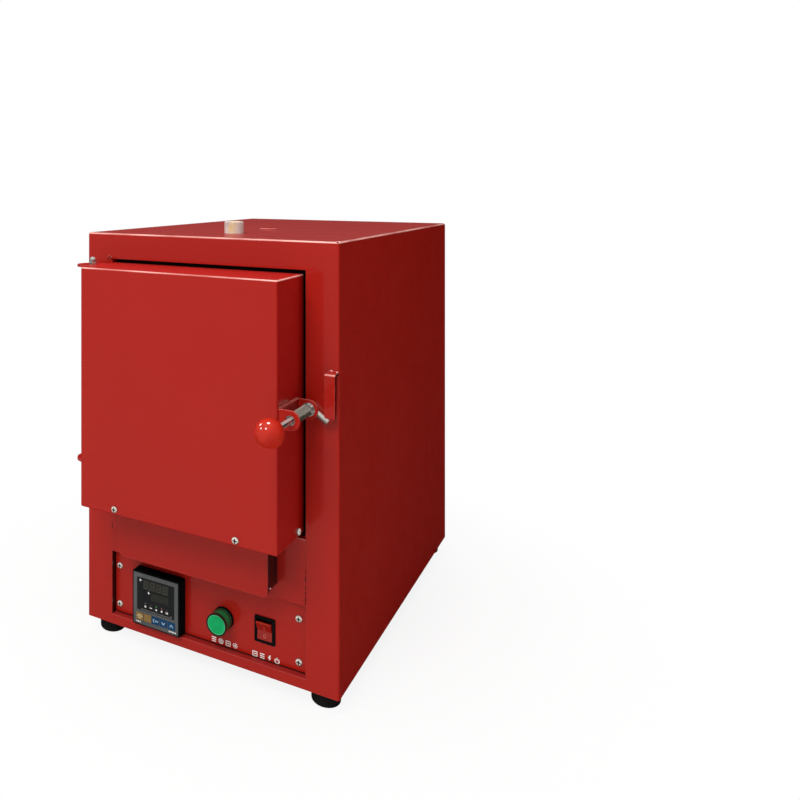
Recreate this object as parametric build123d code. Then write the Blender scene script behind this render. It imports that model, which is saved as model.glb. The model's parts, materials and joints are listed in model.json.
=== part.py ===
from build123d import *
import math
import os

# Benchtop box furnace, in millimetres. The origin is on the bench at the centre of the
# casing's plan, +X to the right seen from the front, +Y towards the back, +Z up.
# Heights below are LIFT lower than in the saved files: save() raises every part.

# ---------------- casing ----------------
WIDTH = 377.0
DEPTH = 585.0                 # over the rear cover
HEIGHT = 565.0                # without the feet
BOTTOM = 17.0                 # underside of the casing
FOOT_H, FOOT_R = 22.0, 18.5
SHEET = 1.5
BEND_R = 3.0                  # outside bend radius
LIFT = FOOT_H - BOTTOM
BENCH = -LIFT
SIDE = WIDTH / 2
FRONT, BACK = -DEPTH / 2, DEPTH / 2
TOP = BOTTOM + HEIGHT
CASE_BACK = BACK - SHEET      # rear face of the casing, under the rear cover
PAN_TOP = BOTTOM + SHEET

OPEN_X = 146.0                # half width of the front openings
DOOR_OPEN_Z0, DOOR_OPEN_Z1 = 206.0, 545.0
CTRL_Z0, CTRL_Z1 = 31.0, 121.5    # control recess
PANEL_Y = FRONT + 10.0        # control panel front face
JAMB_Y = PANEL_Y + SHEET      # front of the returns behind the panel

VENT_R, VENT_Y = 14.0, FRONT + 100.0
CAP_Y = FRONT + 225.0         # blanked hole in the top

# ---------------- screws and clearances ----------------
RUN = 0.05                    # running clearance, radial
SCREW_R = 2.0
HOLE_R, WIDE_HOLE_R = 2.05, 2.1
PANEL_SCREWS = [(x, z) for z in (99.0, 44.0) for x in (-138.0, 133.5)]
REAR_INSET = 10.5
REAR_X, REAR_Z0, REAR_Z1 = SIDE - REAR_INSET, BOTTOM + REAR_INSET, TOP - REAR_INSET
REAR_ROWS = (REAR_Z0, BOTTOM + HEIGHT * 0.36, BOTTOM + HEIGHT * 0.68, REAR_Z1)
REAR_SCREWS = [(s * REAR_X, z) for s in (-1, 1) for z in REAR_ROWS]
REAR_SCREWS += [(0, REAR_Z0), (0, REAR_Z1)]

# ---------------- door and ball knob ----------------
DOOR_L, DOOR_R = -145.0, 141.0
DOOR_Z0, DOOR_Z1 = 212.0, 539.5
DOOR_FRONT = FRONT - 80.0
DOOR_REAR = FRONT + 6.0
BALL_R = 17.0
BALL_Y = DOOR_FRONT - 57.0

# ---------------- chamber ----------------
CAV_X = 95.0                  # half width of the heated space
CAV_Y0, CAV_Y1 = -279.0, 130.0
CAV_Z0, CAV_Z1 = 262.0, 492.0
BOARD_X = 165.0               # outside of the insulating boards
BOARD_YB = 200.0
BOARD_Z0, BOARD_Z1 = 191.5, 552.0

os.makedirs("parts", exist_ok=True)


# ---------------- helpers ----------------
def box(x0, x1, y0, y1, z0, z1):
    """Box between pairs of faces, each pair in either order."""
    solid = Box(abs(x1 - x0), abs(y1 - y0), abs(z1 - z0))
    return Pos((x0 + x1) / 2, (y0 + y1) / 2, (z0 + z1) / 2) * solid


def cyl_z(r, x, y, z0, z1):
    return Pos(x, y, (z0 + z1) / 2) * Cylinder(r, z1 - z0)


def cyl_y(r, x, z, y0, y1):
    return Pos(x, (y0 + y1) / 2, z) * Rot(90, 0, 0) * Cylinder(r, abs(y1 - y0))


def cyl_x(r, y, z, x0, x1):
    return Pos((x0 + x1) / 2, y, z) * Rot(0, 90, 0) * Cylinder(r, x1 - x0)


def pick(shape, test):
    """Edges whose centre passes the test."""
    return [e for e in shape.edges() if test(e.center())]


def at_y(shape, y):
    return pick(shape, lambda c: abs(c.Y - y) < 0.01)


def round_along(shape, axis, radius):
    """Round every edge parallel to an axis."""
    return fillet(list(shape.edges().filter_by(axis)), radius)


def hexagon(x, y, z0, z1, across_flats=10.0):
    profile = RegularPolygon(across_flats / 2, 6, major_radius=False)
    return Pos(x, y, z0) * extrude(profile, amount=z1 - z0)


def round_bar(path, radius, **options):
    section = Plane(origin=path @ 0, z_dir=path % 0) * Circle(radius)
    return sweep(section, path=path, **options)


def wire(points, radius):
    return round_bar(FilletPolyline(*points, radius=radius * 4), radius)


def cross_screw(x, z, face, head_r=4.25, length=9.0, head=2.6, out=-1):
    """Domed cross-slotted screw whose head rests on y = face and looks towards out * Y."""
    crown = face + out * head
    screw = cyl_y(head_r, x, z, face, crown)
    screw = fillet(at_y(screw, crown), 1.5)
    screw += cyl_y(SCREW_R, x, z, face, face - out * length)
    long, thin = 2.2, 0.45
    slot = box(x - long, x + long, crown - 1.3, crown + 1.3, z - thin, z + thin)
    slot += box(x - thin, x + thin, crown - 1.3, crown + 1.3, z - long, z + long)
    return screw - slot


def socket_screw(origin, out):
    """Domed hexagon-socket screw resting on a face at origin, head towards out."""
    base = (Align.CENTER, Align.CENTER, Align.MIN)
    screw = Cylinder(4.3, 2.4, align=base)
    screw = fillet(pick(screw, lambda c: c.Z > 2.3), 1.6)
    screw += Pos(0, 0, -8) * Cylinder(SCREW_R, 8, align=base)
    screw -= Pos(0, 0, 1.0) * extrude(RegularPolygon(1.6, 6), amount=3)
    return Plane(origin=origin, z_dir=out) * screw


def save(node, *shapes):
    """Raise the solids onto the bench frame and write them to one file."""
    raised = [Pos(0, 0, LIFT) * s for shape in shapes for s in shape.solids()]
    whole = raised[0] if len(raised) == 1 else Compound(children=raised)
    export_step(whole, "parts/" + node + ".step")


# ================= casing =================
# wrapper, open underneath
casing = box(-SIDE, SIDE, FRONT, CASE_BACK, BOTTOM, TOP)
casing = fillet(pick(casing, lambda c: c.Z > BOTTOM + 1), BEND_R)
inner = box(-SIDE + SHEET, SIDE - SHEET, FRONT + SHEET, CASE_BACK - SHEET,
            BOTTOM - 5, TOP - SHEET)
inner = fillet(pick(inner, lambda c: c.Z > BOTTOM + 1), BEND_R - SHEET)
casing -= inner
casing -= box(-OPEN_X, OPEN_X, FRONT - 5, FRONT + SHEET, CTRL_Z0, DOOR_OPEN_Z1)
REAR_RIM = 16
casing -= box(-SIDE + REAR_RIM, SIDE - REAR_RIM, CASE_BACK - SHEET, CASE_BACK + 5,
              BOTTOM + REAR_RIM, TOP - REAR_RIM)
# folded returns of the two columns, the header and the bottom rail
JAMB_X = OPEN_X + SHEET
for s in (-1, 1):
    casing += box(s * OPEN_X, s * JAMB_X, FRONT + SHEET, JAMB_Y + SHEET, CTRL_Z0, DOOR_OPEN_Z1)
    casing += box(s * (OPEN_X - 17), s * OPEN_X, JAMB_Y, JAMB_Y + SHEET, CTRL_Z0, CTRL_Z1)
casing += box(-JAMB_X, JAMB_X, FRONT + SHEET, JAMB_Y + SHEET, DOOR_OPEN_Z1, DOOR_OPEN_Z1 + SHEET)
casing += box(-JAMB_X, JAMB_X, FRONT + SHEET, PANEL_Y, CTRL_Z0 - SHEET, CTRL_Z0)
casing = fillet(pick(casing, lambda c: abs(c.Y - FRONT) < 0.01 and abs(c.Z - CTRL_Z0) < 0.01), 1.4)
casing -= cyl_z(VENT_R + 0.4, 0, VENT_Y, TOP - 10, TOP + 10)
casing -= cyl_z(11.0, 0, CAP_Y, TOP - 10, TOP + 10)
for x, z in PANEL_SCREWS:
    casing -= cyl_y(WIDE_HOLE_R, x, z, JAMB_Y - 2, JAMB_Y + SHEET + 2)
for x, z in REAR_SCREWS:
    casing -= cyl_y(HOLE_R, x, z, CASE_BACK - 4, CASE_BACK + 4)
save("casing_shell", casing)

# lower front panel between the door opening and the control recess
PANEL_X = OPEN_X - 0.3
lower = box(-PANEL_X, PANEL_X, FRONT, FRONT + SHEET, CTRL_Z1, DOOR_OPEN_Z0)
lower += box(-PANEL_X, PANEL_X, FRONT + SHEET, PANEL_Y - 0.5, CTRL_Z1, CTRL_Z1 + SHEET)
lower += box(-PANEL_X, PANEL_X, FRONT + SHEET, JAMB_Y, DOOR_OPEN_Z0 - SHEET, DOOR_OPEN_Z0)
lower = fillet([e for e in at_y(lower, FRONT)
                if min(abs(e.center().Z - z) for z in (CTRL_Z1, DOOR_OPEN_Z0)) < 0.01], 1.2)
save("lower_front_panel", lower)

# heat deflector under the door: front plate with top and side returns
DEFL_L, DEFL_R, DEFL_Y = -116.0, 108.0, FRONT - 28.0
DEFL_Z0, DEFL_Z1 = 133, 205
deflector = box(DEFL_L, DEFL_R, DEFL_Y, DEFL_Y + SHEET, DEFL_Z0, DEFL_Z1)
deflector = fillet([e for e in deflector.edges().filter_by(Axis.Y)
                    if e.center().Z < DEFL_Z0 + 1], 9)
deflector += box(DEFL_L, DEFL_R, DEFL_Y + SHEET, FRONT, DEFL_Z1 - SHEET, DEFL_Z1)
for x in (DEFL_L, DEFL_R - SHEET):
    deflector += box(x, x + SHEET, DEFL_Y + SHEET, FRONT, DEFL_Z0 + 9, DEFL_Z1 - SHEET)
save("heat_deflector", deflector)

# base pan with foot holes and four slots
FEET = [(sx * (SIDE - 26), sy * (DEPTH / 2 - 28)) for sx in (-1, 1) for sy in (-1, 1)]
pan = box(-SIDE + SHEET, SIDE - SHEET, FRONT + SHEET, CASE_BACK - SHEET, BOTTOM, PAN_TOP)
pan = round_along(pan, Axis.Z, 1.8)
for x, y in FEET:
    pan -= cyl_z(2.75, x, y, BOTTOM - 1, BOTTOM + 3)
for x in (-60, -20, 20, 60):
    pan -= box(x - 4, x + 4, -160, -60, BOTTOM - 1, BOTTOM + 3)
save("base_pan", pan)

# rubber feet rounded at the bottom, each counterbored for a screw with a nut on the pan
FOOT_SEAT = 7                 # top of the counterbore
feet, foot_screws = [], []
for x, y in FEET:
    foot = cyl_z(FOOT_R, x, y, BENCH, BOTTOM)
    foot = fillet(pick(foot, lambda c: c.Z < BENCH + 0.1), 5.0)
    foot -= cyl_z(5.5, x, y, BENCH - 1, FOOT_SEAT)
    feet.append(foot - cyl_z(2.6, x, y, FOOT_SEAT - 2, BOTTOM + 1))
    screw = cyl_z(4.75, x, y, 3.6, FOOT_SEAT) + cyl_z(2.5, x, y, FOOT_SEAT, BOTTOM + 12)
    foot_screws.append(screw + cyl_z(4.6, x, y, PAN_TOP, PAN_TOP + 4))
save("rubber_feet", *feet)
save("foot_screws", *foot_screws)

# rear cover with two banks of ventilation slots and a cord gland hole
GLAND_X, GLAND_Z, GLAND_R = -130.0, 60.0, 8.0
SLOT_PITCH, SLOT_HALF_W, SLOT_HALF_H = 8, 28, 1.75
cover = box(-SIDE + 4, SIDE - 4, CASE_BACK, BACK, BOTTOM + 4, TOP - 4)
cover = round_along(cover, Axis.Y, 4)
for bank_z in (70.0, 505.0):
    for row in range(6):
        z = bank_z + SLOT_PITCH * row
        for x in (-85.0, 0.0, 85.0):
            cover -= box(x - SLOT_HALF_W, x + SLOT_HALF_W, CASE_BACK - 1, BACK + 1,
                         z - SLOT_HALF_H, z + SLOT_HALF_H)
cover -= cyl_y(GLAND_R + 0.05, GLAND_X, GLAND_Z, CASE_BACK - 1, BACK + 1)
for x, z in REAR_SCREWS:
    cover -= cyl_y(WIDE_HOLE_R, x, z, CASE_BACK - 1, BACK + 1)
save("rear_cover", cover)
save("rear_cover_screws", *[cross_screw(x, z, BACK, head_r=3.6, length=8.0, head=2.2, out=1)
                            for x, z in REAR_SCREWS])

# divider plate between the chamber and the electrics bay
LEAD_X, LEAD_Y = 90, 240      # hole for the wire going up to the chamber
divider = box(-SIDE + SHEET, SIDE - SHEET, FRONT + 14, CASE_BACK - SHEET,
              BOARD_Z0 - SHEET, BOARD_Z0)
divider = round_along(divider, Axis.Z, 1.8)
divider -= cyl_z(6.0, LEAD_X, LEAD_Y, 189, 193)
save("divider_plate", divider)

# ================= control panel and its devices =================
PID_X, PID_Z = -69.0, 70.0    # temperature controller
PID_HALF = 75.5 / 2           # half side of its square bezel
PID_BODY = 33.7               # half side of the body behind the panel
PID_BACK = PANEL_Y + 78
LAMP_X, LAMP_Z = 27.5, 70.0
SWITCH_X, SWITCH_Z = 87.0, 71.0

panel = box(-OPEN_X + 0.5, OPEN_X - 0.5, PANEL_Y, JAMB_Y, CTRL_Z0 + 0.4, CTRL_Z1 - 0.4)
panel -= box(PID_X - 34, PID_X + 34, PANEL_Y - 1, PANEL_Y + 3, PID_Z - 34, PID_Z + 34)
panel -= cyl_y(11.2, LAMP_X, LAMP_Z, PANEL_Y - 1, PANEL_Y + 3)
panel -= box(SWITCH_X - 12, SWITCH_X + 12, PANEL_Y - 1, PANEL_Y + 3, SWITCH_Z - 15, SWITCH_Z + 15)
for x, z in PANEL_SCREWS:
    panel -= cyl_y(WIDE_HOLE_R, x, z, PANEL_Y - 1, PANEL_Y + 3)
save("control_panel", panel)
save("panel_screws", *[cross_screw(x, z, PANEL_Y) for x, z in PANEL_SCREWS])


def pid_square(half, y0, y1):
    """Square block centred on the temperature controller."""
    return box(PID_X - half, PID_X + half, y0, y1, PID_Z - half, PID_Z + half)


# controller housing: bezel with a front pocket, and the body behind the panel
RIM_Y = PANEL_Y - 17.0        # front edge of the bezel
housing = pid_square(PID_HALF, RIM_Y, PANEL_Y)
housing = round_along(housing, Axis.Y, 2.0)
housing = chamfer(at_y(housing, RIM_Y), 0.8)
housing += pid_square(PID_BODY, PANEL_Y, PID_BACK)
housing -= pid_square(35.8, RIM_Y - 1, RIM_Y + 7)
save("controller_housing", housing)

# controller face with its window opening and a row of five keys
face = pid_square(35.7, RIM_Y - 0.3, RIM_Y + 2.2)
face = round_along(face, Axis.Y, 1.0)
WIN_X0, WIN_X1 = PID_X - 30.0, PID_X + 30.0
WIN_Z0, WIN_Z1 = PID_Z - 15.8, PID_Z + 30.0
face -= box(WIN_X0, WIN_X1, RIM_Y - 1, RIM_Y + 3, WIN_Z0, WIN_Z1)
KEY_HALF_W, KEY_HALF_H, KEY_PITCH = 5.8, 5.2, 12.7
KEY_Z = PID_Z - 24.8
KEY_FRONT = RIM_Y - 0.7
KEY_GAP = 0.15


def key_block(x, y0, y1, gap=0.0):
    half_w, half_h = KEY_HALF_W + gap, KEY_HALF_H + gap
    return box(x - half_w, x + half_w, y0, y1, KEY_Z - half_h, KEY_Z + half_h)


for i, name in enumerate(["key_mode", "key_program", "key_shift", "key_down", "key_up"]):
    key_x = PID_X + (i - 2) * KEY_PITCH
    face -= key_block(key_x, RIM_Y - 1, RIM_Y + 3, KEY_GAP)
    key = key_block(key_x, KEY_FRONT, RIM_Y + 4.4)
    save(name, fillet(at_y(key, KEY_FRONT), 0.3))
save("controller_face", face)
save("controller_window", box(WIN_X0 + 0.05, WIN_X1 - 0.05, RIM_Y + 0.3, RIM_Y + 2.0,
                              WIN_Z0 + 0.05, WIN_Z1 - 0.05))

# display board with two raised blocks on its front
BOARD_Y = RIM_Y + 5.4
board = pid_square(33, BOARD_Y, BOARD_Y + 1.5)
board += box(PID_X - 22, PID_X + 24, BOARD_Y - 3, BOARD_Y, PID_Z + 14, PID_Z + 26)
board += box(PID_X - 8, PID_X + 24, BOARD_Y - 3, BOARD_Y, PID_Z + 2, PID_Z + 12)
save("display_board", board)


def lamp_disc(radius, y0, y1):
    return cyl_y(radius, LAMP_X, LAMP_Z, y0, y1)


# pilot lamp: flange and barrel
FLANGE_Y = PANEL_Y - 4.5
LENS_SEAT = PANEL_Y - 2.0
lamp = lamp_disc(14.75, FLANGE_Y, PANEL_Y)
lamp = chamfer(at_y(lamp, FLANGE_Y), 0.8)
lamp += lamp_disc(11.0, PANEL_Y, PANEL_Y + 30)
lamp -= lamp_disc(11.6, PANEL_Y - 5, LENS_SEAT)
save("pilot_lamp_body", lamp)

# lens with a raised rim round its flat face
LENS_Y = PANEL_Y - 22.5
lens = lamp_disc(11.5, FLANGE_Y, LENS_SEAT)
lens += lamp_disc(13.8, LENS_Y + 2.5, FLANGE_Y)
rim = lamp_disc(14.5, LENS_Y, LENS_Y + 2.5)
lens += fillet(at_y(rim, LENS_Y), 0.6)
lens -= lamp_disc(13.1, LENS_Y - 1, LENS_Y + 0.5)
save("pilot_lamp_lens", lens)


def switch_block(half_w, half_h, y0, y1, x=SWITCH_X, z=SWITCH_Z):
    return box(x - half_w, x + half_w, y0, y1, z - half_h, z + half_h)


# rocker switch housing: open front pocket, side pin holes and four rear blades
BEZEL_Y = PANEL_Y - 2.4
SWITCH_BACK = PANEL_Y + 24
ROCK_Y = PANEL_Y + 3.0        # rocker axis
ROCK_PIN_R = 1.5
switch = switch_block(14.25, 17, BEZEL_Y, PANEL_Y)
switch = round_along(switch, Axis.Y, 1.5)
switch = fillet(at_y(switch, BEZEL_Y), 0.8)
switch += switch_block(11.8, 14.8, PANEL_Y, SWITCH_BACK)
switch -= switch_block(10.5, 13.6, PANEL_Y - 4, PANEL_Y + 12)
switch -= cyl_x(ROCK_PIN_R + RUN, ROCK_Y, SWITCH_Z, SWITCH_X - 11.4, SWITCH_X + 11.4)
for dx in (-5, 5):
    for dz in (-7, 7):
        switch += switch_block(0.4, 2.4, SWITCH_BACK, SWITCH_BACK + 9, SWITCH_X + dx, SWITCH_Z + dz)
save("switch_housing", switch)

# rocker, tilted about its pin: lower half pressed in, upper half out
ROCK_ANGLE = 12.0
# side profile: (height, depth) from the rocker axis, depth positive towards the back
ROCKER_PROFILE = [(-12.4, -5.2), (-12.1, -7.8), (0, -4.6), (12.1, -7.8),
                  (12.4, -5.2), (7.0, 4.0), (-7.0, 4.0)]
points = [(ROCK_Y + y, SWITCH_Z + z) for z, y in ROCKER_PROFILE]
rocker = extrude(make_face(Plane.YZ * Polyline(*points, close=True)), amount=10.2, both=True)
rocker = Pos(SWITCH_X, 0, 0) * rocker
rocker = fillet([e for e in rocker.edges().filter_by(Axis.X)
                 if e.center().Y < ROCK_Y - 5.0], 0.7)
rocker += cyl_x(ROCK_PIN_R, ROCK_Y, SWITCH_Z, SWITCH_X - 11.2, SWITCH_X + 11.2)
rocker = Pos(0, -ROCK_Y, -SWITCH_Z) * rocker
save("power_rocker", Pos(0, ROCK_Y, SWITCH_Z) * Rot(ROCK_ANGLE, 0, 0) * rocker)

# ================= electrics bay =================
# finned heatsink with a seat cut into the fins for the relay
FIN_PITCH, FIN_T = 8.5, 1.6
RELAY_Z = PAN_TOP + 20
heatsink = box(40, 120, -150, -50, PAN_TOP, PAN_TOP + 6)
for i in range(10):
    x = 41.0 + i * FIN_PITCH
    heatsink += box(x, x + FIN_T, -150, -50, PAN_TOP + 6, PAN_TOP + 30)
heatsink -= box(53, 107, -135, -65, RELAY_Z, RELAY_Z + 20)
save("relay_heatsink", heatsink)
save("solid_state_relay", box(56, 104, -132, -68, RELAY_Z, RELAY_Z + 26))

TERMINAL_PITCH = 11.3
block = box(-120, -40, -60, -34, PAN_TOP, PAN_TOP + 20)
for i in range(7):
    block -= cyl_z(3.0, -114 + i * TERMINAL_PITCH, -47, PAN_TOP + 14, PAN_TOP + 22)
save("terminal_block", block)

# corner points of each wire, then its radius
WIRES = [
    ([(PID_X - 14, PID_BACK + 0.5, 76), (PID_X - 14, -150, 76),
      (PID_X - 14, -150, 50), (PID_X - 14, -62, 30)], 1.6),
    ([(PID_X + 14, PID_BACK + 0.5, 84), (PID_X + 14, -165, 84),
      (60, -165, 84), (60, -135.5, 58)], 1.6),
    ([(SWITCH_X, PANEL_Y + 34, 78), (SWITCH_X, -200, 78), (20, -200, 78),
      (20, -47, 28), (-39.5, -47, 28)], 1.6),
    ([(LEAD_X, -67.5, 50), (LEAD_X, LEAD_Y, 50), (LEAD_X, LEAD_Y, 230),
      (60, LEAD_Y, 300), (60, 226, 300)], 1.8),
]
save("wiring_loom", *[wire(corners, radius) for corners, radius in WIRES])

CORD_R = 4.0
gland = cyl_y(11.0, GLAND_X, GLAND_Z, BACK, BACK + 6)
gland += cyl_y(GLAND_R, GLAND_X, GLAND_Z, CASE_BACK - 8, BACK)
gland += cyl_y(9.0, GLAND_X, GLAND_Z, BACK + 6, BACK + 16)
gland -= cyl_y(CORD_R + 0.05, GLAND_X, GLAND_Z, CASE_BACK - 12, BACK + 20)
save("cord_gland", gland)

# the cord trails back over the bench as far behind the middle as the ball knob stands in front
CORD_END = BALL_R - BALL_Y
CORD_LOW = BENCH + CORD_R + 0.1
save("power_cord", wire([(GLAND_X, CASE_BACK - 14, GLAND_Z), (GLAND_X, BACK + 46, GLAND_Z),
                         (GLAND_X, BACK + 84, CORD_LOW), (GLAND_X, CORD_END, CORD_LOW)], CORD_R))

# ================= chamber =================
save("floor_board", box(-BOARD_X, BOARD_X, CAV_Y0, BOARD_YB, BOARD_Z0, CAV_Z0))
roof = box(-BOARD_X, BOARD_X, CAV_Y0, BOARD_YB, CAV_Z1, BOARD_Z1)
save("roof_board", roof - cyl_z(VENT_R + 0.2, 0, VENT_Y, CAV_Z1 - 1, BOARD_Z1 + 1))

# side walls grooved for the heating coils, which are plain tubes here
COIL_X, COIL_R, COIL_T = CAV_X + 4.0, 5.5, 1.4
GROOVE_R = 7.0
COIL_Z = [300.0, 350.0, 400.0, 450.0]
walls, coils = [], []
for s in (-1, 1):
    wall = box(s * CAV_X, s * BOARD_X, CAV_Y0, CAV_Y1, CAV_Z0, CAV_Z1)
    for z in COIL_Z:
        wall -= cyl_y(GROOVE_R, s * COIL_X, z, CAV_Y0 + 18, CAV_Y1 - 10)
        coil = cyl_y(COIL_R, s * COIL_X, z, CAV_Y0 + 22, CAV_Y1 - 14)
        coils.append(coil - cyl_y(COIL_R - COIL_T, s * COIL_X, z, CAV_Y0 + 10, CAV_Y1))
    walls.append(wall)
save("side_wall_boards", *walls)
save("heating_coils", *coils)

# back wall, bored for the thermocouple and the element terminals
PROBE_X, PROBE_Z, PROBE_R = 0.0, 430.0, 4.0
TERMINAL_R = 5.0
TERMINALS = [(x, z) for z in (300.0, 450.0) for x in (-60.0, 60.0)]
back_wall = box(-BOARD_X, BOARD_X, CAV_Y1, BOARD_YB, CAV_Z0, CAV_Z1)
back_wall -= cyl_y(PROBE_R + 0.2, PROBE_X, PROBE_Z, CAV_Y1 - 1, BOARD_YB + 1)
for x, z in TERMINALS:
    back_wall -= cyl_y(TERMINAL_R + 0.1, x, z, CAV_Y1 - 1, BOARD_YB + 1)
save("back_wall_board", back_wall)
save("element_terminals", *[cyl_y(TERMINAL_R, x, z, CAV_Y1 - 4, BOARD_YB + 10)
                            + cyl_y(2.0, x, z, BOARD_YB + 10, BOARD_YB + 24)
                            for x, z in TERMINALS])
probe = cyl_y(PROBE_R, PROBE_X, PROBE_Z, CAV_Y1 - 45, BOARD_YB + 14)
save("thermocouple_sheath", fillet(pick(probe, lambda c: c.Y < CAV_Y1 - 44), 2.5))

# fibre blanket on both sides and over the roof board
BLANKET_X, BLANKET_Z = BOARD_X + 16, BOARD_Z1 + 16
BLANKET_Y0 = CAV_Y0 + 2
cover_mat = box(-BOARD_X, BOARD_X, BLANKET_Y0, BOARD_YB, BOARD_Z1, BLANKET_Z)
save("fibre_blanket",
     box(-BLANKET_X, -BOARD_X, BLANKET_Y0, BOARD_YB, BOARD_Z0, BLANKET_Z),
     box(BOARD_X, BLANKET_X, BLANKET_Y0, BOARD_YB, BOARD_Z0, BLANKET_Z),
     cover_mat - cyl_z(VENT_R + 0.6, 0, VENT_Y, BOARD_Z1 - 1, BOARD_Z1 + 20))

hearth = box(-88, 88, CAV_Y0 + 38, CAV_Y1 - 10, CAV_Z0, CAV_Z0 + 10)
save("hearth_plate", round_along(hearth, Axis.Z, 4))

VENT_TOP = TOP + 17
vent = cyl_z(VENT_R, 0, VENT_Y, CAV_Z1, VENT_TOP)
vent -= cyl_z(9.0, 0, VENT_Y, CAV_Z1 - 1, VENT_TOP + 3)
save("vent_tube", fillet(pick(vent, lambda c: c.Z > VENT_TOP - 0.1), 1.5))
cap = cyl_z(13.5, 0, CAP_Y, TOP, TOP + 1.6)
cap = fillet(pick(cap, lambda c: c.Z > TOP + 1.5), 1.0)
save("vent_blanking_cap", cap + cyl_z(10.9, 0, CAP_Y, TOP - 5, TOP))

# ================= hinge =================
PIVOT_X, PIVOT_Y = -161.5, FRONT - 27.0
LUG_R, EAR_R, BOLT_R = 16.0, 22.0, 3.0
LUG_T = 3                     # thickness of lugs and ears
EAR_Z = 3.9                   # underside of the ear above that of the lug
LOW_WASHER = 1.4


def pivot_disc(radius, z0, z1):
    return cyl_z(radius, PIVOT_X, PIVOT_Y, z0, z1)


# each hinge from below: bolt head, washer, fixed lug, washer, door ear, cap nut
lugs, ears, bolts, washers, nuts = [], [], [], [], []
for z in (531.6, 256.1):      # underside of the fixed lugs
    lug = pivot_disc(LUG_R, z, z + LUG_T)
    lug += box(PIVOT_X - LUG_R, PIVOT_X + LUG_R, PIVOT_Y, FRONT, z, z + LUG_T)
    lugs.append(lug - pivot_disc(BOLT_R, z - 1, z + 4))

    ear0, ear1 = z + EAR_Z, z + EAR_Z + LUG_T
    ear = pivot_disc(EAR_R, ear0, ear1)
    ear += box(PIVOT_X, DOOR_L, PIVOT_Y - 20, PIVOT_Y + 20, ear0, ear1)
    ear -= box(DOOR_L, DOOR_L + 30, PIVOT_Y - 30, PIVOT_Y + 30, z + 3, z + 8)
    ears.append(ear - pivot_disc(BOLT_R + RUN, z + 3, z + 8))

    head_z, tip = z - LOW_WASHER, z + 12.4
    bolts.append(hexagon(PIVOT_X, PIVOT_Y, head_z - 4, head_z) + pivot_disc(BOLT_R, head_z, tip))
    for z0, z1 in ((head_z, z), (z + LUG_T, z + 3.85)):
        washers.append(pivot_disc(6.5, z0, z1) - pivot_disc(BOLT_R, z0 - 1, z1 + 1))

    seat = ear1 + 0.05
    nut = pivot_disc(6.2, seat, seat + 1.0) + hexagon(PIVOT_X, PIVOT_Y, seat + 1.0, seat + 5.0)
    nut += pivot_disc(4.6, seat + 5.0, seat + 6.0)
    nut += Pos(PIVOT_X, PIVOT_Y, seat + 6.0) * Sphere(4.6)
    nuts.append(nut - pivot_disc(BOLT_R, seat - 1, tip))
save("hinge_lugs", *lugs)
save("door_hinge_ears", *ears)
save("hinge_bolts", *bolts)
save("hinge_washers", *washers)
save("hinge_cap_nuts", *nuts)

# ================= door =================
DOOR_SCREW_X = (-89.0, 87.0)
DOOR_SCREW_Z = 219.5
SIDE_SCREW_Y = FRONT - 13.0
# shell, open at the rear
shell = box(DOOR_L, DOOR_R, DOOR_FRONT, DOOR_REAR, DOOR_Z0, DOOR_Z1)
shell = fillet(pick(shell, lambda c: c.Y < DOOR_REAR - 1), 2.5)
hollow = box(DOOR_L + SHEET, DOOR_R - SHEET, DOOR_FRONT + SHEET, DOOR_REAR + 5,
             DOOR_Z0 + SHEET, DOOR_Z1 - SHEET)
hollow = fillet(pick(hollow, lambda c: c.Y < DOOR_REAR + 4), 1.0)
shell -= hollow
for x in DOOR_SCREW_X:
    shell -= cyl_y(HOLE_R, x, DOOR_SCREW_Z, DOOR_FRONT - 1, DOOR_FRONT + 4)
for x in (DOOR_L, DOOR_R):
    shell -= cyl_x(HOLE_R, SIDE_SCREW_Y, DOOR_SCREW_Z, x - 4, x + 4)
save("door_shell", shell)

PLATE_Y = DOOR_REAR - SHEET   # front of the back plate
FILL = SHEET + 0.5            # insulation inset from the outside of the shell
save("door_insulation", box(DOOR_L + FILL, DOOR_R - FILL, DOOR_FRONT + FILL, PLATE_Y,
                            230.0, DOOR_Z1 - FILL))

# back plate with the opening for the plug
PLUG_BASE_X, PLUG_TIP_X = 92.0, 84.0    # half widths
PLUG_Z0, PLUG_Z1 = 264.5, 489.5
EDGE = SHEET + 0.1
plate = box(DOOR_L + EDGE, DOOR_R - EDGE, PLATE_Y, DOOR_REAR, DOOR_Z0 + EDGE, DOOR_Z1 - EDGE)
plate = round_along(plate, Axis.Y, 1.5)
plate -= box(-PLUG_BASE_X - 0.2, PLUG_BASE_X + 0.2, DOOR_REAR - 5, DOOR_REAR + 5,
             PLUG_Z0 - 0.2, PLUG_Z1 + 0.2)
save("door_back_plate", plate)


def plug_section(y, half_width, height):
    origin = (0, y, (PLUG_Z0 + PLUG_Z1) / 2)
    return Plane(origin=origin, x_dir=(1, 0, 0), z_dir=(0, 1, 0)) * Rectangle(2 * half_width, height)


# plug tapering towards the chamber
PLUG_H = PLUG_Z1 - PLUG_Z0
save("door_plug", loft([plug_section(PLATE_Y, PLUG_BASE_X, PLUG_H),
                        plug_section(DOOR_REAR + 39.0, PLUG_TIP_X, PLUG_H - 14)]))

gasket = box(-126, 126, DOOR_REAR, DOOR_REAR + 5.9, 232, 524)
gasket -= box(-110, 110, DOOR_REAR - 1, DOOR_REAR + 8, 249, 507)
save("door_gasket", round_along(gasket, Axis.Y, 6))

save("door_screws",
     *[socket_screw((x, DOOR_FRONT, DOOR_SCREW_Z), (0, -1, 0)) for x in DOOR_SCREW_X],
     *[socket_screw((x, SIDE_SCREW_Y, DOOR_SCREW_Z), (s, 0, 0))
       for s, x in ((-1, DOOR_L), (1, DOOR_R))])

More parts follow.
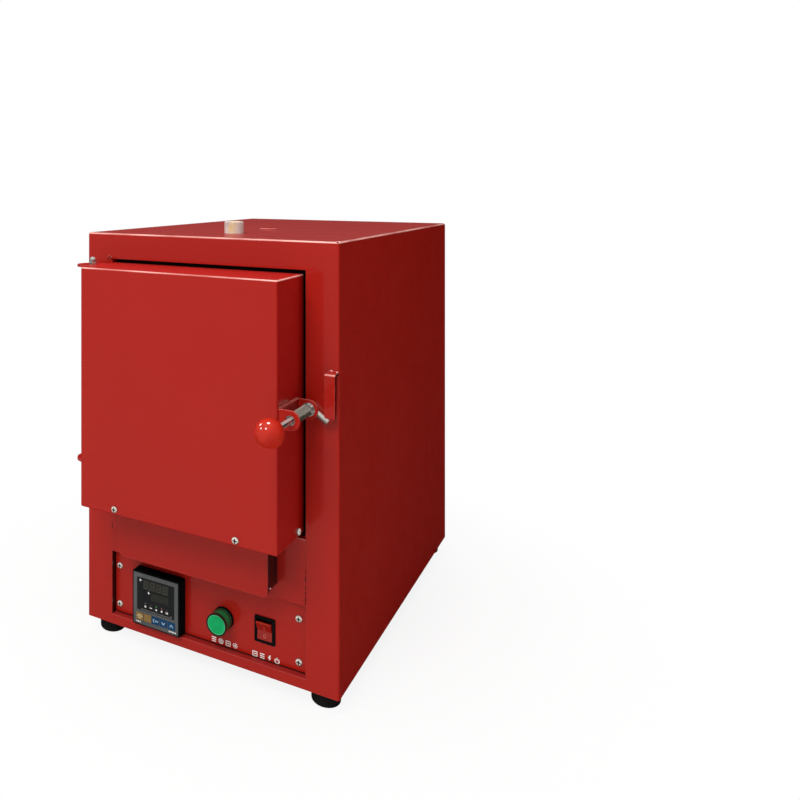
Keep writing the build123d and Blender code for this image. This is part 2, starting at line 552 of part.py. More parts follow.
# ================= latch =================
ROD_X, ROD_Z, ROD_R = 155.5, 375.0, 4.0
HOOK_L = 26.0
HOOK_ANGLE = math.radians(36.0)    # hook below horizontal at rest
LATCH_TRAVEL = 3.0
TAB_R = 12.0                  # rounded ends of the bracket
TAB_T = 2.5
TAB_Y0, TAB_Y1 = DOOR_FRONT + 3.5, FRONT - 14.0


def rod_disc(radius, y0, y1):
    """Cylinder along the latch rod."""
    return cyl_y(radius, ROD_X, ROD_Z, y0, y1)


# bracket on the right side of the door, with a tab at each end
TAB_Z0, TAB_Z1 = ROD_Z - TAB_R, ROD_Z + TAB_R
bracket = box(DOOR_R, DOOR_R + TAB_T, TAB_Y0, TAB_Y1, TAB_Z0, TAB_Z1)
for y in (TAB_Y0, TAB_Y1 - TAB_T):
    bracket += (box(DOOR_R + TAB_T, ROD_X, y, y + TAB_T, TAB_Z0, TAB_Z1)
                + rod_disc(TAB_R, y, y + TAB_T))
bracket -= rod_disc(6.0, TAB_Y0 - 1, TAB_Y0 + 3)
bracket -= rod_disc(ROD_R + RUN, TAB_Y1 - 4, TAB_Y1 + 1)
save("latch_bracket", bracket)

# rod bent into a hook at its rear end, cross-drilled for the pin
HOOK_Y = FRONT - 7.5
PIN_R = 1.25
PIN_Y = TAB_Y0 + TAB_T + LATCH_TRAVEL + 1.6
hook_tip = (ROD_X + HOOK_L * math.cos(HOOK_ANGLE), HOOK_Y, ROD_Z - HOOK_L * math.sin(HOOK_ANGLE))
rod_path = FilletPolyline((ROD_X, BALL_Y + 2, ROD_Z), (ROD_X, HOOK_Y, ROD_Z), hook_tip, radius=5.5)
rod = round_bar(rod_path, ROD_R)
save("latch_rod", rod - cyl_z(PIN_R, ROD_X, PIN_Y, ROD_Z - 9, ROD_Z + 9))
save("latch_pin", cyl_z(PIN_R, ROD_X, PIN_Y, ROD_Z - 8, ROD_Z + 8))

ball = Pos(ROD_X, BALL_Y, ROD_Z) * Sphere(BALL_R)
ball -= box(ROD_X - 20, ROD_X + 20, BALL_Y + 16.0, BALL_Y + 20, ROD_Z - 20, ROD_Z + 20)
save("ball_knob", ball - rod_disc(ROD_R, BALL_Y + 2, BALL_Y + 20))

# behind the pin: washer, spring, then a collar against the rear tab
WASHER_Y0 = PIN_Y + PIN_R
WASHER_Y1 = WASHER_Y0 + 1.5
washer = rod_disc(8.0, WASHER_Y0, WASHER_Y1)
save("latch_washer", washer - rod_disc(ROD_R + RUN, WASHER_Y0 - 1, WASHER_Y0 + 3))
COLLAR_Y1 = TAB_Y1 - TAB_T
COLLAR_Y0 = COLLAR_Y1 - 5.0
collar = rod_disc(8.5, COLLAR_Y1 - 1.5, COLLAR_Y1) + rod_disc(7.4, COLLAR_Y0, COLLAR_Y1 - 1.5)
save("latch_collar", collar - rod_disc(ROD_R + 0.4, COLLAR_Y1 - 8, COLLAR_Y1 + 2))

SPRING_WIRE_R, SPRING_R, TURNS = 0.9, 6.3, 11.0
spring_y = WASHER_Y1 + SPRING_WIRE_R
spring_l = COLLAR_Y0 - SPRING_WIRE_R - spring_y
helix = Helix(pitch=spring_l / TURNS, height=spring_l, radius=SPRING_R)
spring = round_bar(helix, SPRING_WIRE_R, is_frenet=True)
save("latch_spring", Pos(ROD_X, spring_y, ROD_Z) * Rot(-90, 0, 0) * spring)

# keeper strap on the right-hand column, its upper end folded back to the casing
KEEPER_X, KEEPER_Y, KEEPER_T, KEEPER_TOP = 175.5, FRONT - 15, 3, 421
keeper = box(KEEPER_X, SIDE, KEEPER_Y, KEEPER_Y + KEEPER_T, 367, KEEPER_TOP)
keeper += box(KEEPER_X, SIDE, KEEPER_Y, FRONT, KEEPER_TOP - KEEPER_T, KEEPER_TOP)
keeper = fillet([e for e in keeper.edges().filter_by(Axis.X)
                 if abs(e.center().Y - KEEPER_Y) < 0.01 and e.center().Z > KEEPER_TOP - 1], 2.8)
save("latch_keeper", keeper)
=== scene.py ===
import json
import math

import bmesh
import bpy
from mathutils import Matrix, Vector


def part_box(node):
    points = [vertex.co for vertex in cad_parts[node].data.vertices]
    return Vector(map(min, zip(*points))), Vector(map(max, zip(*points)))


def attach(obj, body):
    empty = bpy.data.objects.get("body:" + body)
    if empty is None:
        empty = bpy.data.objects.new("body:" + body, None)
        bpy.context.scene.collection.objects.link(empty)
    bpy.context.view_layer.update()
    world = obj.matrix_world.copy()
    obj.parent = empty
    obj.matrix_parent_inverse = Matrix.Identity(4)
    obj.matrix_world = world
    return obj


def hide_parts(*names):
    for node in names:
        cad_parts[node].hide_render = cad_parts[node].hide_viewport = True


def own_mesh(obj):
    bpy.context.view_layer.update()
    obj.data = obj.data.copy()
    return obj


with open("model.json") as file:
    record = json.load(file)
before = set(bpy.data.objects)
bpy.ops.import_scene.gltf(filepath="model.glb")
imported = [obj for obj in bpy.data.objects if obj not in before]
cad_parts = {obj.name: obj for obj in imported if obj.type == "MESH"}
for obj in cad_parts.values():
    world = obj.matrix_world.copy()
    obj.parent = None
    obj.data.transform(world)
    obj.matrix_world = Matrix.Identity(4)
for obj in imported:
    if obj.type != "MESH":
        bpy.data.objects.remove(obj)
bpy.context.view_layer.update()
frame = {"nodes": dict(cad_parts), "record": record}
nodes = frame["nodes"]
scene = bpy.context.scene
scene.view_settings.view_transform = "Standard"
scene.view_settings.look = "None"
MM = 0.001

# ---------------------------------------------------------------- camera
CAM = Vector((0.5293, -1.310, 0.6593))
cam_data = bpy.data.cameras.new("camera")
cam = bpy.data.objects.new("camera", cam_data)
scene.collection.objects.link(cam)
cam.location = CAM
cam.rotation_euler = (math.radians(90), 0, math.radians(33.72))
cam_data.sensor_width = 36
cam_data.lens = 37.92
cam_data.clip_start, cam_data.clip_end = 0.01, 50
scene.camera = cam
# a rising-front camera: the shift holds only at this place, so other views are centred
for prop, value in (("shift_x", 0.3625), ("shift_y", -0.271)):
    setattr(cam_data, prop, value)
    drv = cam_data.driver_add(prop).driver
    drv.type = "SCRIPTED"
    for name, axis in (("x", "LOC_X"), ("y", "LOC_Y")):
        v = drv.variables.new()
        v.name = name
        v.type = "TRANSFORMS"
        v.targets[0].id = cam
        v.targets[0].transform_type = axis
        v.targets[0].transform_space = "WORLD_SPACE"
    drv.expression = f"{value} if abs(x - {CAM.x:.4f}) + abs(y + {-CAM.y:.4f}) < 0.001 else 0.0"

# ---------------------------------------------------------------- light and stage
world = bpy.data.worlds.new("world")
scene.world = world
world.use_nodes = True
wn, wl = world.node_tree.nodes, world.node_tree.links
wn.clear()
w_out = wn.new("ShaderNodeOutputWorld")
w_mix = wn.new("ShaderNodeMixShader")
w_path = wn.new("ShaderNodeLightPath")
w_see = wn.new("ShaderNodeBackground")
w_lit = wn.new("ShaderNodeBackground")
w_see.inputs[0].default_value = (1, 1, 1, 1)
w_see.inputs[1].default_value = 1.0
w_lit.inputs[0].default_value = (1.0, 0.965, 0.92, 1)
w_dir = wn.new("ShaderNodeTexCoord")
w_dot = wn.new("ShaderNodeVectorMath")
w_dot.operation = "DOT_PRODUCT"
w_dot.inputs[1].default_value = (-0.20, -0.78, 0.58)
w_rng = wn.new("ShaderNodeMapRange")
w_rng.inputs["From Min"].default_value, w_rng.inputs["From Max"].default_value = -0.30, 0.85
w_rng.inputs["To Min"].default_value, w_rng.inputs["To Max"].default_value = 0.0, 0.42
wl.new(w_dir.outputs["Generated"], w_dot.inputs[0])
wl.new(w_dot.outputs["Value"], w_rng.inputs["Value"])
wl.new(w_rng.outputs[0], w_lit.inputs[1])
wl.new(w_path.outputs["Is Camera Ray"], w_mix.inputs[0])
wl.new(w_lit.outputs[0], w_mix.inputs[1])
wl.new(w_see.outputs[0], w_mix.inputs[2])
wl.new(w_mix.outputs[0], w_out.inputs[0])


def area(name, loc, target, size, power, colour=(1, 1, 1)):
    d = bpy.data.lights.new(name, "AREA")
    d.shape = "RECTANGLE"
    d.size, d.size_y = size
    d.energy = power
    d.color = colour
    o = bpy.data.objects.new(name, d)
    scene.collection.objects.link(o)
    o.location = loc
    o.rotation_euler = (Vector(target) - Vector(loc)).to_track_quat("-Z", "Y").to_euler()
    return o


area("key", (-0.15, -2.30, 2.55), (0.05, -0.2, 0.45), (1.5, 1.5), 55, (1.0, 0.97, 0.93)).visible_glossy = False
area("top", (-0.1, -0.2, 2.4), (0, 0, 0.3), (2.2, 2.2), 30, (1.0, 0.97, 0.93)).visible_glossy = False
area("side", (2.9, -0.05, 1.2), (0.1, 0.1, 0.3), (0.9, 1.6), 14, (1.0, 0.97, 0.93)).visible_glossy = False
area("back", (-0.6, 2.6, 1.5), (0, 0.2, 0.3), (1.5, 1.5), 8).visible_glossy = False

floor_mesh = bpy.data.meshes.new("floor")
bm = bmesh.new()
bmesh.ops.create_circle(bm, cap_ends=True, radius=14, segments=96)
bm.to_mesh(floor_mesh)
bm.free()
floor = bpy.data.objects.new("floor", floor_mesh)
scene.collection.objects.link(floor)
floor.visible_glossy = False


# ---------------------------------------------------------------- materials
class Mat:
    """A small helper round one Principled material's node tree."""

    def __init__(self, name, colour, rough=0.5, metal=0.0):
        self.m = bpy.data.materials.new(name)
        self.m.use_nodes = True
        self.n, self.l = self.m.node_tree.nodes, self.m.node_tree.links
        self.p = self.n["Principled BSDF"]
        self.p.inputs["Base Color"].default_value = (*colour, 1)
        self.p.inputs["Roughness"].default_value = rough
        self.p.inputs["Metallic"].default_value = metal
        self.colour, self.rough = colour, rough
        self.co = self.n.new("ShaderNodeTexCoord").outputs["Object"]
        self.normal = None
        self.col = None

    def set(self, **kw):
        for k, v in kw.items():
            self.p.inputs[k.replace("_", " ")].default_value = v
        return self

    def noise(self, scale, detail=2.0, rough=0.5, stretch=None):
        t = self.n.new("ShaderNodeTexNoise")
        t.inputs["Scale"].default_value = scale
        t.inputs["Detail"].default_value = detail
        t.inputs["Roughness"].default_value = rough
        if stretch:
            mp = self.n.new("ShaderNodeMapping")
            mp.inputs["Scale"].default_value = stretch
            self.l.new(self.co, mp.inputs["Vector"])
            self.l.new(mp.outputs[0], t.inputs["Vector"])
        else:
            self.l.new(self.co, t.inputs["Vector"])
        return t.outputs["Fac"]

    def ramp(self, fac, lo, hi, a=0.0, b=1.0):
        r = self.n.new("ShaderNodeMapRange")
        r.inputs["From Min"].default_value, r.inputs["From Max"].default_value = lo, hi
        r.inputs["To Min"].default_value, r.inputs["To Max"].default_value = a, b
        self.l.new(fac, r.inputs["Value"])
        return r.outputs[0]

    def mix(self, fac, c1, c2):
        x = self.n.new("ShaderNodeMix")
        x.data_type = "RGBA"
        if isinstance(fac, float):
            x.inputs[0].default_value = fac
        else:
            self.l.new(fac, x.inputs[0])
        for sock, c in ((6, c1), (7, c2)):
            if isinstance(c, tuple):
                x.inputs[sock].default_value = (*c, 1)
            else:
                self.l.new(c, x.inputs[sock])
        return x.outputs[2]

    def base(self, col):
        self.col = col
        self.l.new(col, self.p.inputs["Base Color"])
        return self

    def roughness(self, fac):
        self.l.new(fac, self.p.inputs["Roughness"])
        return self

    def bump(self, fac, strength, dist=0.001):
        b = self.n.new("ShaderNodeBump")
        b.inputs["Strength"].default_value = strength
        b.inputs["Distance"].default_value = dist
        self.l.new(fac, b.inputs["Height"])
        if self.normal:
            self.l.new(self.normal, b.inputs["Normal"])
        self.normal = b.outputs[0]
        self.l.new(self.normal, self.p.inputs["Normal"])
        return self

    def beyond(self, axis, limit, soft=0.0004):
        """1 where the distance from the middle along one axis is past a limit."""
        sep = self.n.new("ShaderNodeSeparateXYZ")
        self.l.new(self.co, sep.inputs[0])
        ab = self.n.new("ShaderNodeMath")
        ab.operation = "ABSOLUTE"
        self.l.new(sep.outputs[axis], ab.inputs[0])
        return self.ramp(ab.outputs[0], limit - soft, limit + soft)

    def past(self, axis, limit, soft=0.0004, below=False):
        """1 where the place along one axis is past a limit (or below it)."""
        sep = self.n.new("ShaderNodeSeparateXYZ")
        self.l.new(self.co, sep.inputs[0])
        lo, hi = (limit + soft, limit - soft) if below else (limit - soft, limit + soft)
        return self.ramp(sep.outputs[axis], lo, hi)

    def times(self, x, y):
        k = self.n.new("ShaderNodeMath")
        k.operation = "MULTIPLY"
        self.l.new(x, k.inputs[0])
        self.l.new(y, k.inputs[1])
        return k.outputs[0]

    def hollow(self, distance, lo=0.35, hi=0.85):
        """0 deep in a recess, 1 out in the open; the mask paints shade into hollows and keeps painted reflections out
        of them.
        """
        a = self.n.new("ShaderNodeAmbientOcclusion")
        a.samples = 6
        a.inputs["Distance"].default_value = distance
        return self.ramp(a.outputs["AO"], lo, hi)

    def studio(self, stops, strength, tint=(1, 1, 1), open_=None):
        """Painted reflection: a bright and dark banded studio seen in polished metal, as emission by reflected height.
        """
        tc = self.n.new("ShaderNodeTexCoord")
        sep = self.n.new("ShaderNodeSeparateXYZ")
        self.l.new(tc.outputs["Reflection"], sep.inputs[0])
        r = self.n.new("ShaderNodeValToRGB")
        while len(r.color_ramp.elements) < len(stops):
            r.color_ramp.elements.new(0.5)
        for e, (pos, v) in zip(r.color_ramp.elements, stops):
            e.position = pos
            e.color = (v * tint[0], v * tint[1], v * tint[2], 1)
        self.l.new(self.ramp(sep.outputs[2], -1, 1), r.inputs[0])
        self.l.new(r.outputs[0], self.p.inputs["Emission Color"])
        if open_ is None:
            self.p.inputs["Emission Strength"].default_value = strength
        else:
            k = self.n.new("ShaderNodeMath")
            k.operation = "MULTIPLY"
            k.inputs[1].default_value = strength
            self.l.new(open_, k.inputs[0])
            self.l.new(k.outputs[0], self.p.inputs["Emission Strength"])
        return self

    def glints(self, spots, strength):
        """Painted highlights: small soft lamps seen in a glossy piece, as emission; (direction, cosine of the half
        width) each.
        """
        tc = self.n.new("ShaderNodeTexCoord")
        total = None
        for d, c in spots:
            dot = self.n.new("ShaderNodeVectorMath")
            dot.operation = "DOT_PRODUCT"
            dot.inputs[1].default_value = d
            self.l.new(tc.outputs["Reflection"], dot.inputs[0])
            v = self.ramp(dot.outputs["Value"], c - 0.005, c + 0.003)
            if total is not None:
                a = self.n.new("ShaderNodeMath")
                a.operation = "ADD"
                a.use_clamp = True
                self.l.new(total, a.inputs[0])
                self.l.new(v, a.inputs[1])
                v = a.outputs[0]
            total = v
        k = self.n.new("ShaderNodeMath")
        k.operation = "MULTIPLY"
        k.inputs[1].default_value = strength
        self.l.new(total, k.inputs[0])
        self.p.inputs["Emission Color"].default_value = (1, 0.95, 0.92, 1)
        self.l.new(k.outputs[0], self.p.inputs["Emission Strength"])
        return self

    def bevel(self, radius):
        b = self.n.new("ShaderNodeBevel")
        b.samples = 4
        b.inputs["Radius"].default_value = radius
        self.normal = b.outputs[0]
        self.l.new(self.normal, self.p.inputs["Normal"])
        g = self.n.new("ShaderNodeNewGeometry")
        d = self.n.new("ShaderNodeVectorMath")
        d.operation = "DOT_PRODUCT"
        self.l.new(b.outputs[0], d.inputs[0])
        self.l.new(g.outputs["Normal"], d.inputs[1])
        self.edge = self.ramp(d.outputs["Value"], 0.995, 0.90)
        return self


def red_paint(name="red_paint", tone=1.0, peel=0.05, shade=None, side=1.0, top=(0.455, 0.017, 0.014), folds=1.0, ledge=False):
    """Gloss red powder coat with painted light: painted lighter where it faces up, painted bright on the edges and
    folds, and where asked, painted shade on right-facing sides, on the ledge and under a mask.
    """
    c = (0.405 * tone, 0.0106 * tone, 0.0058 * tone)
    m = Mat(name, c, 0.45)
    m.bevel(0.0011)
    big = m.ramp(m.noise(4.0, 2.0), 0.35, 0.65)
    mid = m.ramp(m.noise(30.0, 3.0, 0.5), 0.3, 0.7)
    lighter = tuple(min(1, x * k) for x, k in zip(c, (1.015, 1.06, 1.06)))
    darker = tuple(x * k for x, k in zip(c, (0.985, 0.97, 0.97)))
    col = m.mix(big, darker, lighter)
    fine = m.ramp(m.noise(1400.0, 2.0), 0.35, 0.7)
    col = m.mix(m.ramp(fine, 0, 1, 0.0, 0.08), col, tuple(x * 0.85 for x in c))
    g = m.n.new("ShaderNodeNewGeometry")
    true = m.n.new("ShaderNodeSeparateXYZ")
    m.l.new(g.outputs["True Normal"], true.inputs[0])
    m.true = true
    # painted light: faces that look up take the lighter top colour
    facing_up = m.ramp(true.outputs[2], 0.75, 0.95)
    col = m.mix(facing_up, col, top)
    # painted shade: faces that look right are darker by the side factor
    if side != 1.0:
        col = m.mix(m.ramp(true.outputs[0], 0.80, 0.95), col, (0.405 * side, 0.0055 * side, 0.0035 * side))
    # painted highlight: a lighter pink tone on the edges the bevel finds
    edge_tone = m.mix(m.ramp(mid, 0, 1, 0.30, 0.62), col, (0.74 * tone, 0.105 * tone, 0.085 * tone))
    col = m.mix(m.edge, col, edge_tone)
    bent = m.n.new("ShaderNodeSeparateXYZ")
    m.l.new(m.normal, bent.inputs[0])
    # painted highlight: a pale line on edges that turn upwards
    glow = m.times(m.times(m.edge, m.ramp(bent.outputs[2], 0.25, 0.50)), m.ramp(mid, 0, 1, 0.55, 0.95))
    col = m.mix(glow, col, (0.86, 0.34, 0.31))
    # painted highlight on the rounded folds under the lamps
    fold = m.times(m.ramp(true.outputs[2], 0.20, 0.45), m.ramp(true.outputs[2], 0.97, 0.88))
    col = m.mix(m.times(fold, m.ramp(m.noise(14.0, 2.0), 0.35, 0.65, 0.35 * folds, folds)), col, (0.95, 0.52, 0.48))
    if ledge:
        # the ledge below the control panel is out of the light
        low = m.times(m.past(2, 0.30, below=True), m.ramp(true.outputs[2], 0.15, 0.40))
        col = m.mix(low, col, (0.37, 0.023, 0.021))
    if shade:
        col = m.mix(shade(m), col, (0.012, 0.0005, 0.0004))
    m.base(col)
    m.roughness(m.ramp(mid, 0, 1, 0.42, 0.50))
    m.set(Coat_Roughness=0.085, Coat_IOR=1.48, Specular_IOR_Level=0.10)
    m.l.new(m.ramp(facing_up, 0, 1, 0.8, 0.2), m.p.inputs["Coat Weight"])
    m.bump(m.noise(700.0, 2.0, 0.45), peel, 0.0003)
    return m.m


def metal(name, colour, rough, stretch=None, scale=300.0, bump=0.05, wear=0.25, bevel=0.0):
    m = Mat(name, colour, rough, 1.0)
    if bevel:
        m.bevel(bevel)
    g = m.noise(scale, 3.0, 0.6, stretch)
    dark = tuple(x * (1 - wear) for x in colour)
    m.base(m.mix(m.ramp(m.noise(60.0, 4.0, 0.6), 0.35, 0.7), colour, dark))
    m.roughness(m.ramp(g, 0.25, 0.75, rough * 0.75, min(1, rough * 1.35)))
    m.bump(g, bump, 0.0002)
    return m.m


def plastic(name, colour, rough=0.45, scale=1600.0, bump=0.08, spread=0.12, bevel=0.0004):
    m = Mat(name, colour, rough)
    if bevel:
        m.bevel(bevel)
    hi = tuple(min(1, x * (1 + spread) + 0.004) for x in colour)
    lo = tuple(x * (1 - spread) for x in colour)
    m.base(m.mix(m.ramp(m.noise(25.0, 3.0), 0.35, 0.65), lo, hi))
    m.roughness(m.ramp(m.noise(90.0, 3.0), 0.3, 0.7, rough * 0.85, min(1, rough * 1.15)))
    m.bump(m.noise(scale, 2.0), bump, 0.0002)
    return m.m


def fibre(name, colour):
    m = Mat(name, colour, 0.95)
    c2 = tuple(x * 0.86 for x in colour)
    c3 = (colour[0] * 0.80, colour[1] * 0.72, colour[2] * 0.60)
    col = m.mix(m.ramp(m.noise(400.0, 5.0, 0.7, (1, 1, 0.35)), 0.3, 0.7), colour, c2)
    col = m.mix(m.ramp(m.noise(11.0, 4.0, 0.6), 0.52, 0.75, 0.0, 0.55), col, c3)
    # painted shade: the rim outside the door gasket is painted near-black, as it lies in the dark gap round the door
    sep = m.n.new("ShaderNodeSeparateXYZ")
    m.l.new(m.co, sep.inputs[0])
    front = m.ramp(sep.outputs[1], -0.2590, -0.2610)
    side = m.beyond(0, 0.1285)
    upper = m.ramp(sep.outputs[2], 0.5300, 0.5310)
    for op, other in (("MAXIMUM", upper), ("MULTIPLY", front)):
        j = m.n.new("ShaderNodeMath")
        j.operation = op
        m.l.new(side, j.inputs[0])
        m.l.new(other, j.inputs[1])
        side = j.outputs[0]
    m.base(m.mix(side, col, (0.006, 0.005, 0.005)))
    m.bump(m.noise(520.0, 5.0, 0.7, (1, 1, 0.4)), 0.55, 0.0009)
    m.bump(m.noise(60.0, 3.0), 0.25, 0.003)
    return m.m


MATS = {
    "red_paint": red_paint(),
    "black_plastic": plastic("black_plastic", (0.004, 0.004, 0.0045), 0.42),
    "grey_plastic": plastic("grey_plastic", (0.095, 0.103, 0.110), 0.5),
    "display_glass": plastic("display_glass", (0.013, 0.0145, 0.0165), 0.22, 60.0, 0.01),
    "gold_key": plastic("gold_key", (0.27, 0.168, 0.056), 0.55),
    "blue_key": plastic("blue_key", (0.005, 0.054, 0.145), 0.55),
    "red_plastic": plastic("red_plastic", (0.56, 0.020, 0.010), 0.10, 90.0, 0.008, 0.05),
    "rubber": plastic("rubber", (0.009, 0.009, 0.009), 0.75, 900.0, 0.35),
    "steel": metal("steel", (0.56, 0.53, 0.50), 0.24, (1, 0.04, 1), 900.0, 0.08),
    "zinc": metal("zinc", (0.66, 0.63, 0.59), 0.26, None, 500.0, 0.05, 0.3, 0.0003),
    "aluminium": metal("aluminium", (0.72, 0.73, 0.74), 0.35, (1, 0.1, 1), 600.0, 0.05),
    "galvanised": metal("galvanised", (0.52, 0.54, 0.56), 0.42, None, 120.0, 0.05, 0.35),
    "fibre": fibre("fibre", (0.74, 0.71, 0.63)),
    "ceramic_white": plastic("ceramic_white", (0.80, 0.76, 0.64), 0.22, 150.0, 0.04, 0.06, 0.0008),
    "kiln_plate": fibre("kiln_plate", (0.42, 0.36, 0.29)),
    "heating_wire": metal("heating_wire", (0.20, 0.18, 0.17), 0.55, None, 700.0, 0.25, 0.5),
    "board_green": plastic("board_green", (0.01, 0.07, 0.03), 0.5),
    "wire_black": plastic("wire_black", (0.015, 0.015, 0.015), 0.5, 500.0, 0.1),
    "brass": metal("brass", (0.70, 0.50, 0.20), 0.3),
    "white_ink": plastic("white_ink", (0.93, 0.93, 0.91), 0.5, 900.0, 0.04, 0.02, 0.0),
}

lens_mat = Mat("green_lens", (0.0, 0.33, 0.10), 0.4)
lens_mat.base(lens_mat.mix(lens_mat.ramp(lens_mat.noise(140.0, 3.0), 0.3, 0.7), (0.0, 0.31, 0.085), (0.0, 0.40, 0.12)))
lens_mat.bump(lens_mat.noise(900.0, 2.0), 0.06, 0.0002)
lens_mat.set(Emission_Color=(0.0, 0.50, 0.20, 1), Emission_Strength=0.06, Specular_IOR_Level=0.2)
MATS["green_lens"] = lens_mat.m
for key in ("black_plastic", "display_glass", "gold_key", "blue_key", "grey_plastic", "rubber"):
    MATS[key].node_tree.nodes["Principled BSDF"].inputs["Specular IOR Level"].default_value = 0.0 if key == "black_plastic" else 0.16
# painted shade: the deflector's return, past x = 106.9 mm, is painted near-black
MATS["deflector_paint"] = red_paint("deflector_paint", shade=lambda m: m.past(0, 0.1069))
def recess_shade(m):
    """The folds round the control recess lie in the dark."""
    recess = m.times(m.past(1, -0.2918), m.past(1, -0.262, below=True))
    recess = m.times(recess, m.times(m.past(2, 0.205, below=True), m.past(0, 0.1478, below=True)))
    return m.times(recess, m.ramp(m.true.outputs[0], 0.6, 0.9))


# per piece: top colours paint light on upward faces, side factors paint shade on faces that look right, folds scale the
# painted fold highlights
MATS["casing_paint"] = red_paint("casing_paint", shade=recess_shade, top=(0.385, 0.048, 0.046), ledge=True)
MATS["keeper_paint"] = red_paint("keeper_paint", side=0.12)
MATS["door_paint"] = red_paint("door_paint", side=0.84)
MATS["panel_paint"] = red_paint("panel_paint", 1.06)
MATS["bracket_paint"] = red_paint("bracket_paint", side=0.62, folds=0.15)
for link in list(MATS["bracket_paint"].node_tree.links):
    if link.to_socket.name == "Coat Weight":
        MATS["bracket_paint"].node_tree.links.remove(link)
MATS["bracket_paint"].node_tree.nodes["Principled BSDF"].inputs["Coat Weight"].default_value = 0.15
chrome = Mat("chrome", (0.60, 0.58, 0.55), 0.16, 1.0)
# painted shade: the chrome is near-black deep in its hollows
open_part = chrome.hollow(0.0016)
bright = chrome.mix(chrome.ramp(chrome.noise(150.0, 4.0, 0.6), 0.35, 0.7), (0.62, 0.60, 0.57), (0.45, 0.43, 0.41))
chrome.base(chrome.mix(open_part, (0.02, 0.018, 0.016), bright))
chrome.roughness(chrome.ramp(chrome.noise(500.0, 3.0, 0.6), 0.3, 0.7, 0.12, 0.24))
# painted reflection: a banded studio as emission, kept out of the hollows
chrome.studio([(0.0, 0.03), (0.20, 0.04), (0.29, 0.12), (0.335, 0.62), (0.38, 0.10), (0.52, 0.03), (0.60, 0.05), (0.665, 0.85), (0.72, 0.30), (0.90, 0.75)], 0.55, (1.0, 0.97, 0.92), open_part)
screw = Mat("screw_chrome", (0.75, 0.72, 0.66), 0.22, 0.6)
# painted shade: near-black deep in the cross recess of each head
dug = screw.hollow(0.0026, 0.62, 0.98)
screw_tone = screw.mix(screw.ramp(screw.noise(240.0, 3.0), 0.35, 0.7), (0.78, 0.74, 0.66), (0.46, 0.43, 0.37))
screw.base(screw.mix(dug, (0.012, 0.008, 0.006), screw_tone))
screw.roughness(screw.ramp(screw.noise(500.0, 2.0), 0.3, 0.7, 0.16, 0.28))
# painted reflection: the studio as emission, kept out of the recess
screw.studio([(0.0, 0.02), (0.17, 0.05), (0.26, 0.80), (0.42, 1.0), (0.62, 0.9), (0.74, 0.45), (0.90, 0.9)], 0.42, (1.0, 0.97, 0.90), dug)
MATS["screw_chrome"] = screw.m
spring_steel = Mat("spring_steel", (0.15, 0.13, 0.10), 0.25, 1.0)
spring_steel.base(spring_steel.mix(spring_steel.ramp(spring_steel.noise(300.0, 3.0), 0.35, 0.7), (0.34, 0.30, 0.245), (0.20, 0.18, 0.145)))
spring_steel.roughness(spring_steel.ramp(spring_steel.noise(600.0, 2.0), 0.3, 0.7, 0.18, 0.30))
# painted reflection: the studio as emission, kept out of the hollows
spring_steel.studio([(0.0, 0.01), (0.30, 0.06), (0.36, 0.02), (0.56, 0.04), (0.64, 0.7), (0.69, 1.0), (0.80, 0.8), (0.95, 0.3)], 0.42, (1.0, 0.93, 0.80), spring_steel.hollow(0.0016))
MATS["spring_steel"] = spring_steel.m
rod_mat = Mat("rod_chrome", (0.55, 0.50, 0.45), 0.14, 1.0)
# painted shade: the rod is near-black where it runs inside the spring
in_spring = rod_mat.times(rod_mat.past(1, -0.3600), rod_mat.past(1, -0.3120, below=True))
rod_tone = rod_mat.mix(rod_mat.ramp(rod_mat.noise(200.0, 3.0), 0.35, 0.7), (0.42, 0.39, 0.35), (0.30, 0.27, 0.24))
rod_mat.base(rod_mat.mix(in_spring, rod_tone, (0.010, 0.008, 0.006)))
rod_mat.roughness(rod_mat.ramp(rod_mat.noise(500.0, 2.0), 0.3, 0.7, 0.12, 0.22))
rod_open = rod_mat.times(rod_mat.hollow(0.004), rod_mat.ramp(in_spring, 1, 0))
# painted reflection: the studio as emission, kept out of hollows and the spring
rod_mat.studio([(0.0, 0.03), (0.29, 0.06), (0.34, 0.35), (0.40, 0.08), (0.52, 0.02), (0.60, 0.10), (0.655, 0.40), (0.675, 0.95), (0.72, 0.6), (0.90, 0.9)], 0.50, (1.0, 0.94, 0.88), rod_open)
MATS["rod_chrome"] = rod_mat.m
MATS["chrome"] = chrome.m
CHROME = {"latch_pin", "latch_washer", "latch_collar", "hinge_cap_nuts", "hinge_washers", "hinge_bolts"}
SCREWS = {"panel_screws", "door_screws", "rear_cover_screws", "foot_screws"}

# painted highlights: the ball knob shows four small lamps as emission spots
ball_at = sum(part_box("ball_knob"), Vector()) / 2
see = (CAM - ball_at).normalized()
right = Vector((0, 0, 1)).cross(see).normalized()
up = see.cross(right)
spots = []
for a, b_, c in ((-0.067, 0.654, 0.990), (-0.577, 0.538, 0.995), (-0.548, 0.298, 0.9970), (-0.231, 0.298, 0.9955)):
    n_ = a * right + b_ * up + math.sqrt(1 - a * a - b_ * b_) * see
    spots.append((tuple((2 * n_.dot(see) * n_ - see).normalized()), c))
knob = Mat("knob_red", (0.50, 0.018, 0.008), 0.14)
knob.base(knob.mix(knob.ramp(knob.noise(40.0, 3.0), 0.35, 0.7), (0.46, 0.015, 0.008), (0.54, 0.028, 0.012)))
knob.bump(knob.noise(260.0, 2.0), 0.02, 0.0003)
knob.glints(spots, 1.2)
MATS["knob_red"] = knob.m
weld = Mat("weld_paint", (0.42, 0.012, 0.008), 0.3)
